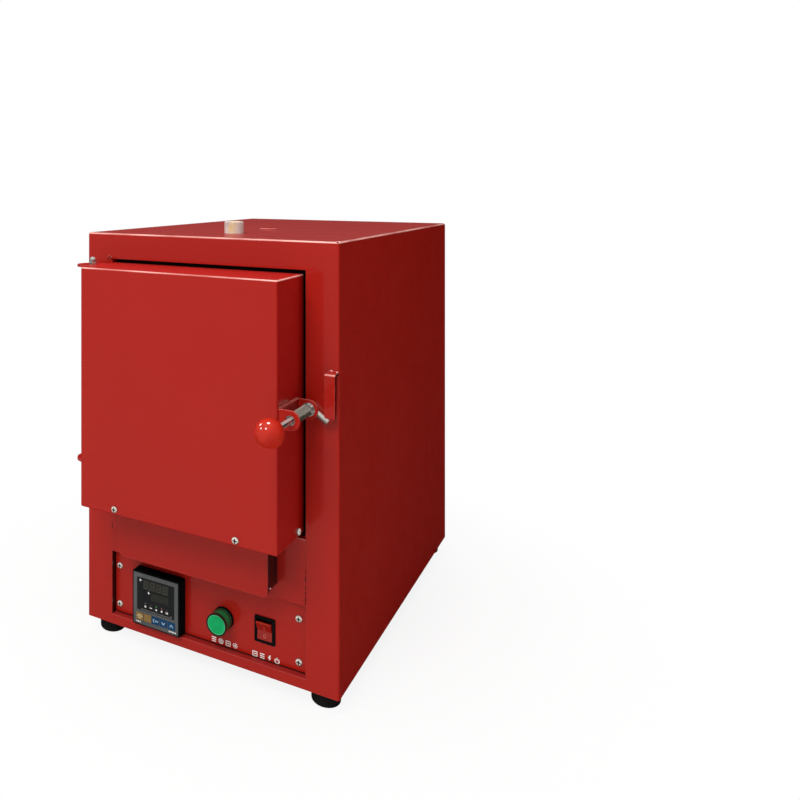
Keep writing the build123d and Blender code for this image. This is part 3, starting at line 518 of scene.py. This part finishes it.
# painted highlights: bright specks on the weld, near-white and lit by emission
weld_glint = weld.ramp(weld.noise(380.0, 2.0, 0.6), 0.55, 0.63)
weld.base(weld.mix(weld_glint, weld.mix(weld.ramp(weld.noise(160.0, 3.0), 0.35, 0.65), (0.22, 0.005, 0.004), (0.55, 0.05, 0.045)), (0.95, 0.80, 0.78)))
weld.roughness(weld.ramp(weld_glint, 0, 1, 0.30, 0.12))
weld.set(Coat_Weight=1.0, Coat_Roughness=0.05)
weld.bump(weld.noise(300.0, 3.0), 0.5, 0.0006)
weld.p.inputs["Emission Color"].default_value = (1, 0.85, 0.82, 1)
weld.l.new(weld.ramp(weld_glint, 0, 1, 0.0, 0.45), weld.p.inputs["Emission Strength"])
MATS["weld_paint"] = weld.m
MATS["weld_dark"] = red_paint("weld_dark", 0.62, 0.3, folds=0.2, top=(0.26, 0.010, 0.008))

rocker_mat = Mat("rocker_red", (0.40, 0.010, 0.006), 0.22)
rocker_mat.base(rocker_mat.mix(rocker_mat.ramp(rocker_mat.noise(120.0, 3.0), 0.3, 0.7), (0.28, 0.006, 0.004), (0.37, 0.016, 0.008)))
rocker_mat.bump(rocker_mat.noise(700.0, 2.0), 0.05, 0.0002)
rocker_mat.set(Coat_Weight=0.4, Subsurface_Weight=0.05)
MATS["rocker_red"] = rocker_mat.m

# white vent tube, with a patchy yellow band where x runs from about -1.5 to 8.5 mm
vent = Mat("vent_ceramic", (0.78, 0.74, 0.70), 0.25)
yellow_band = vent.times(vent.past(0, -0.0015, 0.002), vent.past(0, 0.0085, 0.002, below=True))
patchy = vent.times(yellow_band, vent.ramp(vent.noise(90.0, 3.0, 0.6), 0.25, 0.65))
vent.base(vent.mix(patchy, vent.mix(vent.ramp(vent.noise(60.0, 3.0), 0.35, 0.7), (0.78, 0.73, 0.69), (0.62, 0.55, 0.51)), (0.80, 0.62, 0.24)))
vent.roughness(vent.ramp(vent.noise(120.0, 3.0), 0.3, 0.7, 0.18, 0.34))
vent.bump(vent.noise(160.0, 3.0), 0.08, 0.0003)
MATS["vent_ceramic"] = vent.m

fm = Mat("floor_pale", (0.90, 0.90, 0.90), 0.9)
fm.set(Specular_IOR_Level=0.1)
fm.base(fm.mix(fm.ramp(fm.noise(3.0, 4.0), 0.3, 0.7), (0.90, 0.90, 0.895), (0.93, 0.93, 0.93)))
# the floor fades to plain white away from the furnace, like a rolled paper backdrop
f_path, f_emit, f_mix = fm.n.new("ShaderNodeLightPath"), fm.n.new("ShaderNodeEmission"), fm.n.new("ShaderNodeMixShader")
f_emit.inputs["Color"].default_value = (1, 1, 1, 1)
f_len = fm.n.new("ShaderNodeVectorMath")
f_len.operation = "LENGTH"
fm.l.new(fm.co, f_len.inputs[0])
f_far = fm.ramp(f_len.outputs["Value"], 0.20, 0.62, 0.86, 1.0)
f_mul = fm.n.new("ShaderNodeMath")
f_mul.operation = "MULTIPLY"
fm.l.new(f_far, f_mul.inputs[0])
fm.l.new(f_path.outputs["Is Camera Ray"], f_mul.inputs[1])
fm.l.new(f_mul.outputs[0], f_mix.inputs[0])
fm.l.new(fm.p.outputs[0], f_mix.inputs[1])
fm.l.new(f_emit.outputs[0], f_mix.inputs[2])
fm.l.new(f_mix.outputs[0], fm.n["Material Output"].inputs["Surface"])
floor.data.materials.append(fm.m)

slot_of = {s["node"]: s["material_slot"] for s in frame["record"]["subparts"]}
for n, o in nodes.items():
    key = {"power_rocker": "rocker_red", "vent_tube": "vent_ceramic", "ball_knob": "knob_red", "latch_rod": "rod_chrome", "heat_deflector": "deflector_paint", "casing_shell": "casing_paint", "door_shell": "door_paint", "latch_keeper": "keeper_paint", "latch_bracket": "bracket_paint", "control_panel": "panel_paint"}.get(n, "screw_chrome" if n in SCREWS else "chrome" if n in CHROME else slot_of[n])
    o.data.materials.clear()
    o.data.materials.append(MATS[key])


# ---------------------------------------------------------------- mesh helpers
def make(name, body, mat, build, smooth=False):
    me = bpy.data.meshes.new(name)
    b = bmesh.new()
    build(b)
    bmesh.ops.recalc_face_normals(b, faces=b.faces)
    b.to_mesh(me)
    b.free()
    me.materials.append(MATS[mat] if isinstance(mat, str) else mat)
    if smooth:
        for f in me.polygons:
            f.use_smooth = True
    o = bpy.data.objects.new(name, me)
    scene.collection.objects.link(o)
    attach(o, body)
    return o


BODY = "furnace_body"

def prism(b, pts, y0, y1):
    """A flat outline in X and Z, made solid between two depths. Millimetres in, metres out."""
    f = [b.verts.new((x * MM, y0 * MM, z * MM)) for x, z in pts]
    r = [b.verts.new((x * MM, y1 * MM, z * MM)) for x, z in pts]
    b.faces.new(f)
    b.faces.new(r[::-1])
    n = len(pts)
    for i in range(n):
        j = (i + 1) % n
        b.faces.new((f[j], f[i], r[i], r[j]))


def bar(b, p, q, w, y0, y1, taper=0.0):
    """A stroke from p to q with width w and pointed or square ends."""
    d = Vector((q[0] - p[0], q[1] - p[1]))
    n = d.length
    d = d / n
    t = Vector((-d.y, d.x)) * w / 2
    e = d * taper
    pts = [Vector(p) - e, Vector(p) + t, Vector(q) + t, Vector(q) + e, Vector(q) - t, Vector(p) - t] if taper else [Vector(p) + t, Vector(q) + t, Vector(q) - t, Vector(p) - t]
    prism(b, [(v.x, v.y) for v in pts], y0, y1)


def ring(b, x, z, r0, r1, y0, y1, a0=0.0, a1=360.0, seg=40):
    """A flat ring, or part of one, in X and Z."""
    full = a1 - a0 >= 360
    n = seg if full else seg + 1
    rows = []
    for i in range(n):
        a = math.radians(a0 + (a1 - a0) * i / seg)
        c, s = math.cos(a), math.sin(a)
        rows.append([b.verts.new(((x + r * c) * MM, y * MM, (z + r * s) * MM)) for r, y in ((r0, y0), (r1, y0), (r1, y1), (r0, y1))])
    for i in range(n if full else n - 1):
        p, q = rows[i], rows[(i + 1) % n]
        for k in range(4):
            m = (k + 1) % 4
            b.faces.new((p[k], q[k], q[m], p[m]))
    if not full:
        b.faces.new(rows[0])
        b.faces.new(rows[-1][::-1])


def disc(b, x, z, r, y0, y1, seg=32):
    prism(b, [(x + r * math.cos(2 * math.pi * i / seg), z + r * math.sin(2 * math.pi * i / seg)) for i in range(seg)], y0, y1)


def coil(b, x, z, y0, y1, radius, wire, turns, per=16, sides=8, lead=0.0):
    """A wound wire along Y with closed ends."""
    total = int(turns * per)
    rows = []
    pitch = (y1 - y0) / turns
    for i in range(total + 1):
        a = 2 * math.pi * i / per
        t = i / per
        y = y0 + (y1 - y0) * i / total
        c = Vector((x + radius * math.cos(a), y, z + radius * math.sin(a)))
        tan = Vector((-math.sin(a) * radius * 2 * math.pi, pitch, math.cos(a) * radius * 2 * math.pi)).normalized()
        out = Vector((math.cos(a), 0, math.sin(a)))
        up = tan.cross(out)
        rows.append([b.verts.new((c + wire * (math.cos(2 * math.pi * k / sides) * out + math.sin(2 * math.pi * k / sides) * up)) * MM) for k in range(sides)])
    for p, q in zip(rows, rows[1:]):
        for k in range(sides):
            m = (k + 1) % sides
            b.faces.new((p[k], p[m], q[m], q[k]))
    b.faces.new(rows[0][::-1])
    b.faces.new(rows[-1])


def bead(b, pts, r, seed=1.0, flat=(1, 1, 1)):
    """A lumpy weld: overlapping small blobs along a line."""
    for i, p in enumerate(pts):
        k = r * (0.80 + 0.35 * abs(math.sin(seed + i * 2.3)))
        off = Vector((math.sin(seed * 3 + i * 1.7), math.sin(seed + i * 2.9), math.sin(seed * 2 + i * 4.1))) * r * 0.22
        off = Vector((off.x * flat[0], off.y * flat[1], off.z * flat[2]))
        mat = Matrix.Translation((Vector(p) + off) * MM) @ Matrix.Diagonal((k * flat[0] * MM, k * flat[1] * MM, k * flat[2] * MM, 1))
        bmesh.ops.create_icosphere(b, subdivisions=2, radius=1.0, matrix=mat)


def line(p, q, n):
    return [tuple(p[k] + (q[k] - p[k]) * i / max(1, n - 1) for k in range(3)) for i in range(n)]


YF = -292.5
PX, PZ = -69.0, 75.0
YW = YF + 10 - 17 + 0.3          # front of the controller's window
YK = YF + 10 - 17 - 0.7          # front of the keys
YFC = YF + 10 - 17 - 0.3         # front of the controller's face
WL, WT = PX - 30.0, PZ + 30.0    # left and top of the window


def tint(name, colour, rough=0.4, **kw):
    m = Mat(name, colour, rough)
    m.base(m.mix(m.ramp(m.noise(900.0, 2.0), 0.3, 0.7), tuple(x * 0.85 for x in colour), tuple(min(1, x * 1.15) for x in colour)))
    m.bump(m.noise(1500.0, 2.0), 0.05, 0.0001)
    m.set(**kw)
    MATS[name] = m.m
    return m.m


tint("segment_off", (0.062, 0.064, 0.050), 0.45)
tint("segment_dim", (0.032, 0.035, 0.029), 0.45)
tint("display_pad", (0.017, 0.018, 0.013), 0.35)
tint("dot_grey", (0.10, 0.11, 0.11), 0.4)
tint("dot_green", (0.04, 0.22, 0.07), 0.35)
tint("dot_red", (0.20, 0.06, 0.06), 0.35)
tint("lamp_rim", (0.001, 0.006, 0.003), 0.28, Coat_Weight=0.4)
tint("lamp_halo", (0.10, 0.62, 0.28), 0.3, Emission_Color=(0.05, 0.6, 0.25, 1), Emission_Strength=0.08)
tint("lamp_side", (0.006, 0.120, 0.038), 0.25, Coat_Weight=0.4)
# dark seams, and painted shade in the screw recesses
tint("dark_seam_and_shade", (0.012, 0.002, 0.002), 0.8)
tint("rocker_light", (0.66, 0.055, 0.022), 0.3)
tint("rocker_mark", (0.62, 0.12, 0.10), 0.4)

# display areas and their unlit digits
make("display_area_upper", BODY, "display_pad", lambda b: prism(b, [(WL + 9.7, WT - 15.6), (WL + 50.4, WT - 15.6), (WL + 50.4, WT - 2.4), (WL + 9.7, WT - 2.4)], YW - 0.06, YW + 0.2))
make("display_area_lower", BODY, "display_pad", lambda b: prism(b, [(WL + 22.6, WT - 28.6), (WL + 50.4, WT - 28.6), (WL + 50.4, WT - 18.2), (WL + 22.6, WT - 18.2)], YW - 0.06, YW + 0.2))


def digit(b, cx, cz, h, w, t, slant, y0, y1):
    def at(u, v):
        return (cx + u * w / 2 + slant * v * h / 2, cz + v * h / 2)

    g = 0.06
    for (u0, v0), (u1, v1) in (((-1, 1), (1, 1)), ((-1, 0), (1, 0)), ((-1, -1), (1, -1)), ((-1, 1), (-1, 0)), ((-1, 0), (-1, -1)), ((1, 1), (1, 0)), ((1, 0), (1, -1))):
        p, q = Vector(at(u0, v0)), Vector(at(u1, v1))
        d = (q - p).normalized() * (t * 0.62)
        bar(b, p + d, q - d, t, y0, y1, t * 0.5)


def upper_digits(b):
    for i, x in enumerate((14.5, 24.9, 35.2, 45.5)):
        digit(b, WL + x - 0.4, WT - 9.3, 9.8, 5.6, 1.05, 0.14, YW - 0.14, YW)
        disc(b, WL + x + 3.9, WT - 14.4, 0.55, YW - 0.14, YW, 12)


def lower_digits(b):
    for i, x in enumerate((26.3, 33.0, 39.5, 46.3)):
        digit(b, WL + x, WT - 23.4, 7.4, 4.0, 0.8, 0.14, YW - 0.14, YW)


make("digits_upper", BODY, "segment_off", upper_digits)
make("digits_lower", BODY, "segment_dim", lower_digits)
for i, (x, mat) in enumerate(((13.4, "dot_grey"), (22.4, "segment_dim"), (31.0, "dot_green"), (39.7, "dot_red"), (48.0, "segment_dim"))):
    make(f"indicator_{i}", BODY, mat, lambda b, x=x: disc(b, WL + x, WT - 35.4, 1.15, YW - 0.16, YW, 20))


def window_marks(b):
    y0, y1 = YW - 0.12, YW
    # arrowheads beside the two rows of digits
    prism(b, [(WL + 4.2, WT - 6.2), (WL + 7.4, WT - 4.3), (WL + 4.2, WT - 2.4)], y0, y1)
    prism(b, [(WL + 17.7, WT - 21.2), (WL + 20.9, WT - 19.4), (WL + 17.7, WT - 17.6)], y0, y1)
    # one plain symbol under each indicator
    z = WT - 39.4
    ring(b, WL + 13.4, z, 0.75, 1.45, y0, y1, seg=24)
    bar(b, (WL + 20.6, z), (WL + 24.2, z), 1.1, y0, y1)
    prism(b, [(WL + 29.4, z - 1.3), (WL + 32.6, z - 1.3), (WL + 31.0, z + 1.5)], y0, y1)
    prism(b, [(WL + 38.0, z), (WL + 39.7, z + 1.5), (WL + 41.4, z), (WL + 39.7, z - 1.5)], y0, y1)
    bar(b, (WL + 46.9, z - 1.4), (WL + 46.9, z + 1.4), 1.0, y0, y1)
    bar(b, (WL + 49.1, z - 1.4), (WL + 49.1, z + 1.4), 1.0, y0, y1)


make("window_marks", BODY, "white_ink", window_marks)


def window_rule(b):
    y0, y1 = YW - 0.12, YW
    bar(b, (WL + 6.0, WT - 44.4), (WL + 56.0, WT - 44.4), 0.7, y0, y1)
    bar(b, (WL + 53.8, WT - 41.6), (WL + 55.6, WT - 43.2), 0.9, y0, y1)


tint("rule_grey", (0.20, 0.20, 0.20), 0.5)
make("window_rule", BODY, "rule_grey", window_rule)


def face_marks(b):
    for i in range(3):
        bar(b, (PX - 31.0 + i * 2.6, PZ - 32.6), (PX - 29.3 + i * 2.6, PZ - 32.6), 1.7, YFC - 0.1, YFC)
    for i in range(5):
        bar(b, (PX + 21.4 + i * 2.4, PZ - 32.6), (PX + 23.0 + i * 2.4, PZ - 32.6), 1.7, YFC - 0.1, YFC)


make("face_marks", BODY, "white_ink", face_marks)
KZ = PZ - 24.8


def key_sign(kind):
    def build(b):
        y0, y1 = YK - 0.12, YK + 0.05
        x = PX + (kind - 2) * 12.7
        if kind == 0:
            ring(b, x, KZ, 2.2, 2.9, y0, y1, seg=32)
            bar(b, (x - 1.3, KZ), (x + 1.3, KZ), 0.7, y0, y1)
            bar(b, (x - 4.3, KZ), (x - 2.9, KZ), 0.9, y0, y1)
            bar(b, (x + 2.9, KZ), (x + 4.3, KZ), 0.9, y0, y1)
        if kind == 2:
            bar(b, (x - 3.9, KZ), (x - 1.5, KZ + 2.4), 0.9, y0, y1)
            bar(b, (x - 3.9, KZ), (x - 1.5, KZ - 2.4), 0.9, y0, y1)
            for k in range(2):
                ring(b, x + 0.9 + 2.6 * k, KZ, 0.55, 1.15, y0, y1, seg=20)
        if kind in (3, 4):
            s = 1 if kind == 4 else -1
            bar(b, (x - 2.4, KZ - 1.6 * s), (x, KZ + 1.9 * s), 1.0, y0, y1)
            bar(b, (x + 2.4, KZ - 1.6 * s), (x, KZ + 1.9 * s), 1.0, y0, y1)
    return build


tint("gold_pale", (0.72, 0.60, 0.36), 0.45)
tint("blue_pale", (0.42, 0.62, 0.80), 0.45)
for kind, node, mat in ((0, "key_mode", "gold_pale"), (2, "key_shift", "blue_pale"), (3, "key_down", "blue_pale"), (4, "key_up", "blue_pale")):
    make(node + "_sign", node + "_body", mat, key_sign(kind))

# symbols under the lamp and the switch, silk-screened
YP = YF + 10


def glyph(b, kind, x, z, s=1.0):
    y0, y1 = YP - 0.08, YP + 0.02
    if kind == "lamp":
        ring(b, x, z, 2.4, 3.7, y0, y1)
        for a in (45, 135):
            c, d = 2.5 * math.cos(math.radians(a)), 2.5 * math.sin(math.radians(a))
            bar(b, (x - c, z - d), (x + c, z + d), 1.25, y0, y1)
    if kind == "bars":
        for dz in (-2.6, 0, 2.6):
            bar(b, (x - 3.1, z + dz), (x + 3.1, z + dz), 1.45, y0, y1)
    if kind == "box":
        for p, q in (((-3, -3), (3, -3)), ((-3, 3), (3, 3)), ((-3, -3), (-3, 3)), ((3, -3), (3, 3))):
            bar(b, (x + p[0], z + p[1]), (x + q[0], z + q[1]), 1.35, y0, y1)
        bar(b, (x - 1.4, z), (x + 1.4, z), 1.6, y0, y1)
    if kind == "rays":
        disc(b, x, z, 1.3, y0, y1, 16)
        for k in range(8):
            a = math.radians(45 * k)
            bar(b, (x + 2.0 * math.cos(a), z + 2.0 * math.sin(a)), (x + 3.6 * math.cos(a), z + 3.6 * math.sin(a)), 1.25, y0, y1)
    if kind == "power":
        ring(b, x, z - 0.4, 2.2, 3.6, y0, y1, 125, 415)
        bar(b, (x, z), (x, z + 3.8), 1.35, y0, y1)
    if kind == "bolt":
        prism(b, [(x - 0.2, z + 3.8), (x + 2.0, z + 3.8), (x + 0.6, z + 0.7), (x + 2.4, z + 0.7), (x - 1.4, z - 3.8), (x - 0.2, z - 0.5), (x - 2.2, z - 0.5)], y0, y1)


def lamp_marks(b):
    for kind, x in zip(("bars", "lamp", "box", "rays"), (13.0, 23.4, 33.9, 44.3)):
        glyph(b, kind, x, 42.2)


def switch_marks(b):
    for kind, x in zip(("box", "bars", "bolt", "power"), (72.6, 82.9, 93.1, 103.5)):
        glyph(b, kind, x, 40.8)


make("lamp_marks", BODY, "white_ink", lamp_marks)
make("switch_marks", BODY, "white_ink", switch_marks)

# pilot lamp: ribbed sides, dark rim and a paler line inside it
LX, LZ, YL = 27.5, 75.0, YP - 22.5


def lamp_ribs(b):
    for k in range(44):
        a = 2 * math.pi * k / 44
        c, s = math.cos(a), math.sin(a)
        pts = []
        for da, r in ((-0.045, 13.6), (-0.030, 14.25), (0.030, 14.25), (0.045, 13.6)):
            pts.append((LX + r * math.cos(a + da), LZ + r * math.sin(a + da)))
        prism(b, pts, YL + 3.6, YP - 5.2)


make("lamp_ribs", BODY, "lamp_side", lamp_ribs)
make("lamp_rim", BODY, "lamp_rim", lambda b: ring(b, LX, LZ, 12.75, 14.75, YL - 0.25, YL + 3.0, seg=72))
make("lamp_halo", BODY, "lamp_halo", lambda b: ring(b, LX, LZ, 11.9, 12.75, YL + 0.35, YL + 0.6, seg=72))
make("lamp_band", BODY, "lamp_rim", lambda b: ring(b, LX, LZ, 13.5, 14.5, YP - 8.4, YP - 6.9, seg=72))

# rocker: a painted highlight on the top bevel, and the on and off marks
RX, RZ, RY = 87.0, 76.0, YP + 3.0
ca, sa = math.cos(math.radians(12)), math.sin(math.radians(12))


def rock(x, y, z):
    """A point given on the untilted rocker, about its pivot."""
    return Vector((RX + x, RY + y * ca - z * sa, RZ + y * sa + z * ca)) * MM


def rock_plate(b, pts, lift=0.12, deep=0.1):
    """A thin outline lying on the upper (z > 0) or lower face of the rocker."""
    def face(x, z, up):
        return rock(x, -4.6 - 3.2 * abs(z) / 12.1 - up, z)
    f = [b.verts.new(face(x, z, lift)) for x, z in pts]
    r = [b.verts.new(face(x, z, -deep)) for x, z in pts]
    b.faces.new(f)
    b.faces.new(r[::-1])
    n = len(pts)
    for i in range(n):
        j = (i + 1) % n
        b.faces.new((f[j], f[i], r[i], r[j]))


def rocker_marks(b):
    rock_plate(b, [(-0.45, 2.6), (0.45, 2.6), (0.45, 6.4), (-0.45, 6.4)])
    n = 28
    for i in range(n):
        a0, a1 = 2 * math.pi * i / n, 2 * math.pi * (i + 1) / n
        rock_plate(b, [(r * math.cos(a) * 0.9, -6.2 + r * math.sin(a)) for r, a in ((1.5, a0), (2.3, a0), (2.3, a1), (1.5, a1))])


make("rocker_marks", "rocker", "rocker_mark", rocker_marks)


def rocker_top(b):
    # painted highlight: the raised end of the rocker catches the light, as a lighter plate
    pts = [(-9.9, -5.4, 12.38), (9.9, -5.4, 12.38), (9.9, -7.1, 12.18), (-9.9, -7.1, 12.18)]
    f = [b.verts.new(rock(x, y, z + 0.05)) for x, y, z in pts]
    r = [b.verts.new(rock(x, y, z - 0.3)) for x, y, z in pts]
    b.faces.new(f)
    b.faces.new(r[::-1])
    for i in range(4):
        j = (i + 1) % 4
        b.faces.new((f[j], f[i], r[i], r[j]))


make("rocker_top", "rocker", "rocker_light", rocker_top)

# latch spring, wound
S0, S1, SR = -359.15 + 0.98, -314.0 - 0.98, 6.3
spring = make("latch_spring_wire", "door", "spring_steel", lambda b: coil(b, 155.5, 380.0, S0, S1, SR, 0.95, 9, 20, 8), True)
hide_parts("latch_spring")
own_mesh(spring)

# heating coils
def all_coils(b):
    for sx in (-1, 1):
        for z in (305.0, 355.0, 405.0, 455.0):
            coil(b, sx * 99.0, z, -256.0, 115.0, 4.8, 0.7, 68, 10, 5)


coils = make("heating_coil_wires", BODY, "heating_wire", all_coils, True)
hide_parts("heating_coils")

# rear cover: a pressed hood over every slot
def hoods(b):
    y = 292.5
    for z0 in (75.0, 510.0):
        for k in range(6):
            z = z0 + 8 * k
            for x in (-85.0, 0.0, 85.0):
                n, rows = 7, []
                for i in range(n + 1):
                    a = math.pi / 2 * i / n
                    rows.append([b.verts.new(((x + s * 30) * MM, (y + q * 3.4 * math.cos(a) - 0.2) * MM, (z - 0.6 + q * 3.4 * math.sin(a)) * MM)) for s in (-1, 1) for q in (1.0, 0.62)])
                for p, q in zip(rows, rows[1:]):
                    b.faces.new((p[0], p[2], q[2], q[0]))
                    b.faces.new((p[1], q[1], q[3], p[3]))
                    b.faces.new((p[0], q[0], q[1], p[1]))
                    b.faces.new((p[2], p[3], q[3], q[2]))
                b.faces.new((rows[0][0], rows[0][1], rows[0][3], rows[0][2]))
                b.faces.new((rows[-1][0], rows[-1][2], rows[-1][3], rows[-1][1]))


make("rear_louvre_hoods", BODY, "red_paint", hoods)

# weld beads in paint
make("weld_column", BODY, "weld_dark", lambda b: bead(b, [(-150.7, YF, 553.0), (-152.5, YF, 550.5), (-150, YF, 548.5), (-147.8, YF, 550.8)], 2.0, 1.3, (1, 0.6, 1)), True)
make("weld_keeper", BODY, "weld_paint", lambda b: bead(b, line((176.5, YF - 1.0, 426.6), (186.8, YF - 1.0, 427.0), 7), 1.9, 2.1, (1, 0.9, 0.8)), True)
make("weld_bracket", "door", "weld_dark", lambda b: bead(b, line((141.4, -367.0, 392.3), (141.4, -310.0, 392.3), 22), 1.5, 0.7, (0.7, 1, 0.7)), True)
make("weld_bracket_low", "door", "red_paint", lambda b: bead(b, line((141.4, -367.0, 367.7), (141.4, -310.0, 367.7), 22), 1.3, 3.7, (0.7, 1, 0.7)), True)
for k, z in enumerate((537.0, 261.5)):
    make(f"weld_lug_{k}", BODY, "red_paint", lambda b, z=z: bead(b, line((-176.0, YF - 0.4, z + 3.0), (-147.0, YF - 0.4, z + 3.0), 14), 1.3, 0.4 + z, (1, 0.7, 0.7)), True)
    make(f"weld_ear_{k}", "door", "red_paint", lambda b, z=z: bead(b, line((-145.3, YF - 45.0, z + 3.6), (-145.3, YF - 9.0, z + 3.6), 16), 1.2, 1.4 + z, (0.6, 1, 0.6)), True)
make("weld_corner", BODY, "weld_paint", lambda b: bead(b, [(186.4, YF + 1.0, 586.2), (187.8, YF + 2.2, 586.6)], 1.2, 4.2), True)
# dark joints where the lower panel meets the columns
def slots_of(node):
    """Painted shade: a dark cross over the recess of every head that faces the front."""
    me = nodes[node].data
    parent = list(range(len(me.vertices)))

    def root(i):
        while parent[i] != i:
            parent[i] = parent[parent[i]]
            i = parent[i]
        return i

    seen = {}
    for v in me.vertices:
        parent[v.index] = seen.setdefault(tuple(round(c, 6) for c in v.co), v.index)
    for e in me.edges:
        a, b = root(e.vertices[0]), root(e.vertices[1])
        if a != b:
            parent[a] = b
    groups = {}
    for v in me.vertices:
        groups.setdefault(root(v.index), []).append(v.co / MM)
    heads = []
    for pts in groups.values():
        lo = [min(c[k] for c in pts) for k in range(3)]
        hi = [max(c[k] for c in pts) for k in range(3)]
        if hi[1] - lo[1] > max(hi[0] - lo[0], hi[2] - lo[2]) + 0.5:
            heads.append(((lo[0] + hi[0]) / 2, lo[1], (lo[2] + hi[2]) / 2, (hi[0] - lo[0]) / 2))

    def build(b):
        for x, y, z, r in heads:
            w, h = 0.8, r * 0.66
            prism(b, [(x - w, z - h), (x + w, z - h), (x + w, z + h), (x - w, z + h)], y - 0.03, y + 0.5)
            prism(b, [(x - h, z - w), (x - w - 0.02, z - w), (x - w - 0.02, z + w), (x - h, z + w)], y - 0.03, y + 0.5)
            prism(b, [(x + w + 0.02, z - w), (x + h, z - w), (x + h, z + w), (x + w + 0.02, z + w)], y - 0.03, y + 0.5)

    return build


make("panel_screw_slots", BODY, "dark_seam_and_shade", slots_of("panel_screws"))
make("door_screw_slots", "door", "dark_seam_and_shade", slots_of("door_screws"))
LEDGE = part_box("control_panel")[0].z / MM + 0.05


def seams(b):
    for x, runs in ((145.9, ((129.0, 139.0), (141.5, 146.0), (149.0, 152.0), (158.0, 164.5), (170.0, 173.0))), (-145.9, ((196.0, 203.0), (183.0, 190.0), (160.0, 166.0)))):
        for z0, z1 in runs:
            prism(b, [(x - 0.55, z0), (x + 0.55, z0), (x + 0.55, z1), (x - 0.55, z1)], YF - 0.06, YF + 0.3)


    prism(b, [(-144.6, LEDGE), (144.6, LEDGE), (144.6, LEDGE + 0.9), (-144.6, LEDGE + 0.9)], YP - 0.9, YP + 0.05)


make("panel_seams", BODY, "dark_seam_and_shade", seams)
# a small bead at the corner of the deflector's fold, with painted glints for the highlight there
make("deflector_corner", BODY, "weld_paint", lambda b: bead(b, [(108.3, YF - 24.0, 148.5), (108.3, YF - 22.0, 150.5)], 1.0, 0.9), True)
# a small pit in the paint of the door's top edge
make("paint_pit", "door", "dark_seam_and_shade", lambda b: bead(b, [(40.6, -307.0, 544.3)], 1.4, 0.5, (1, 1, 0.3)), True)
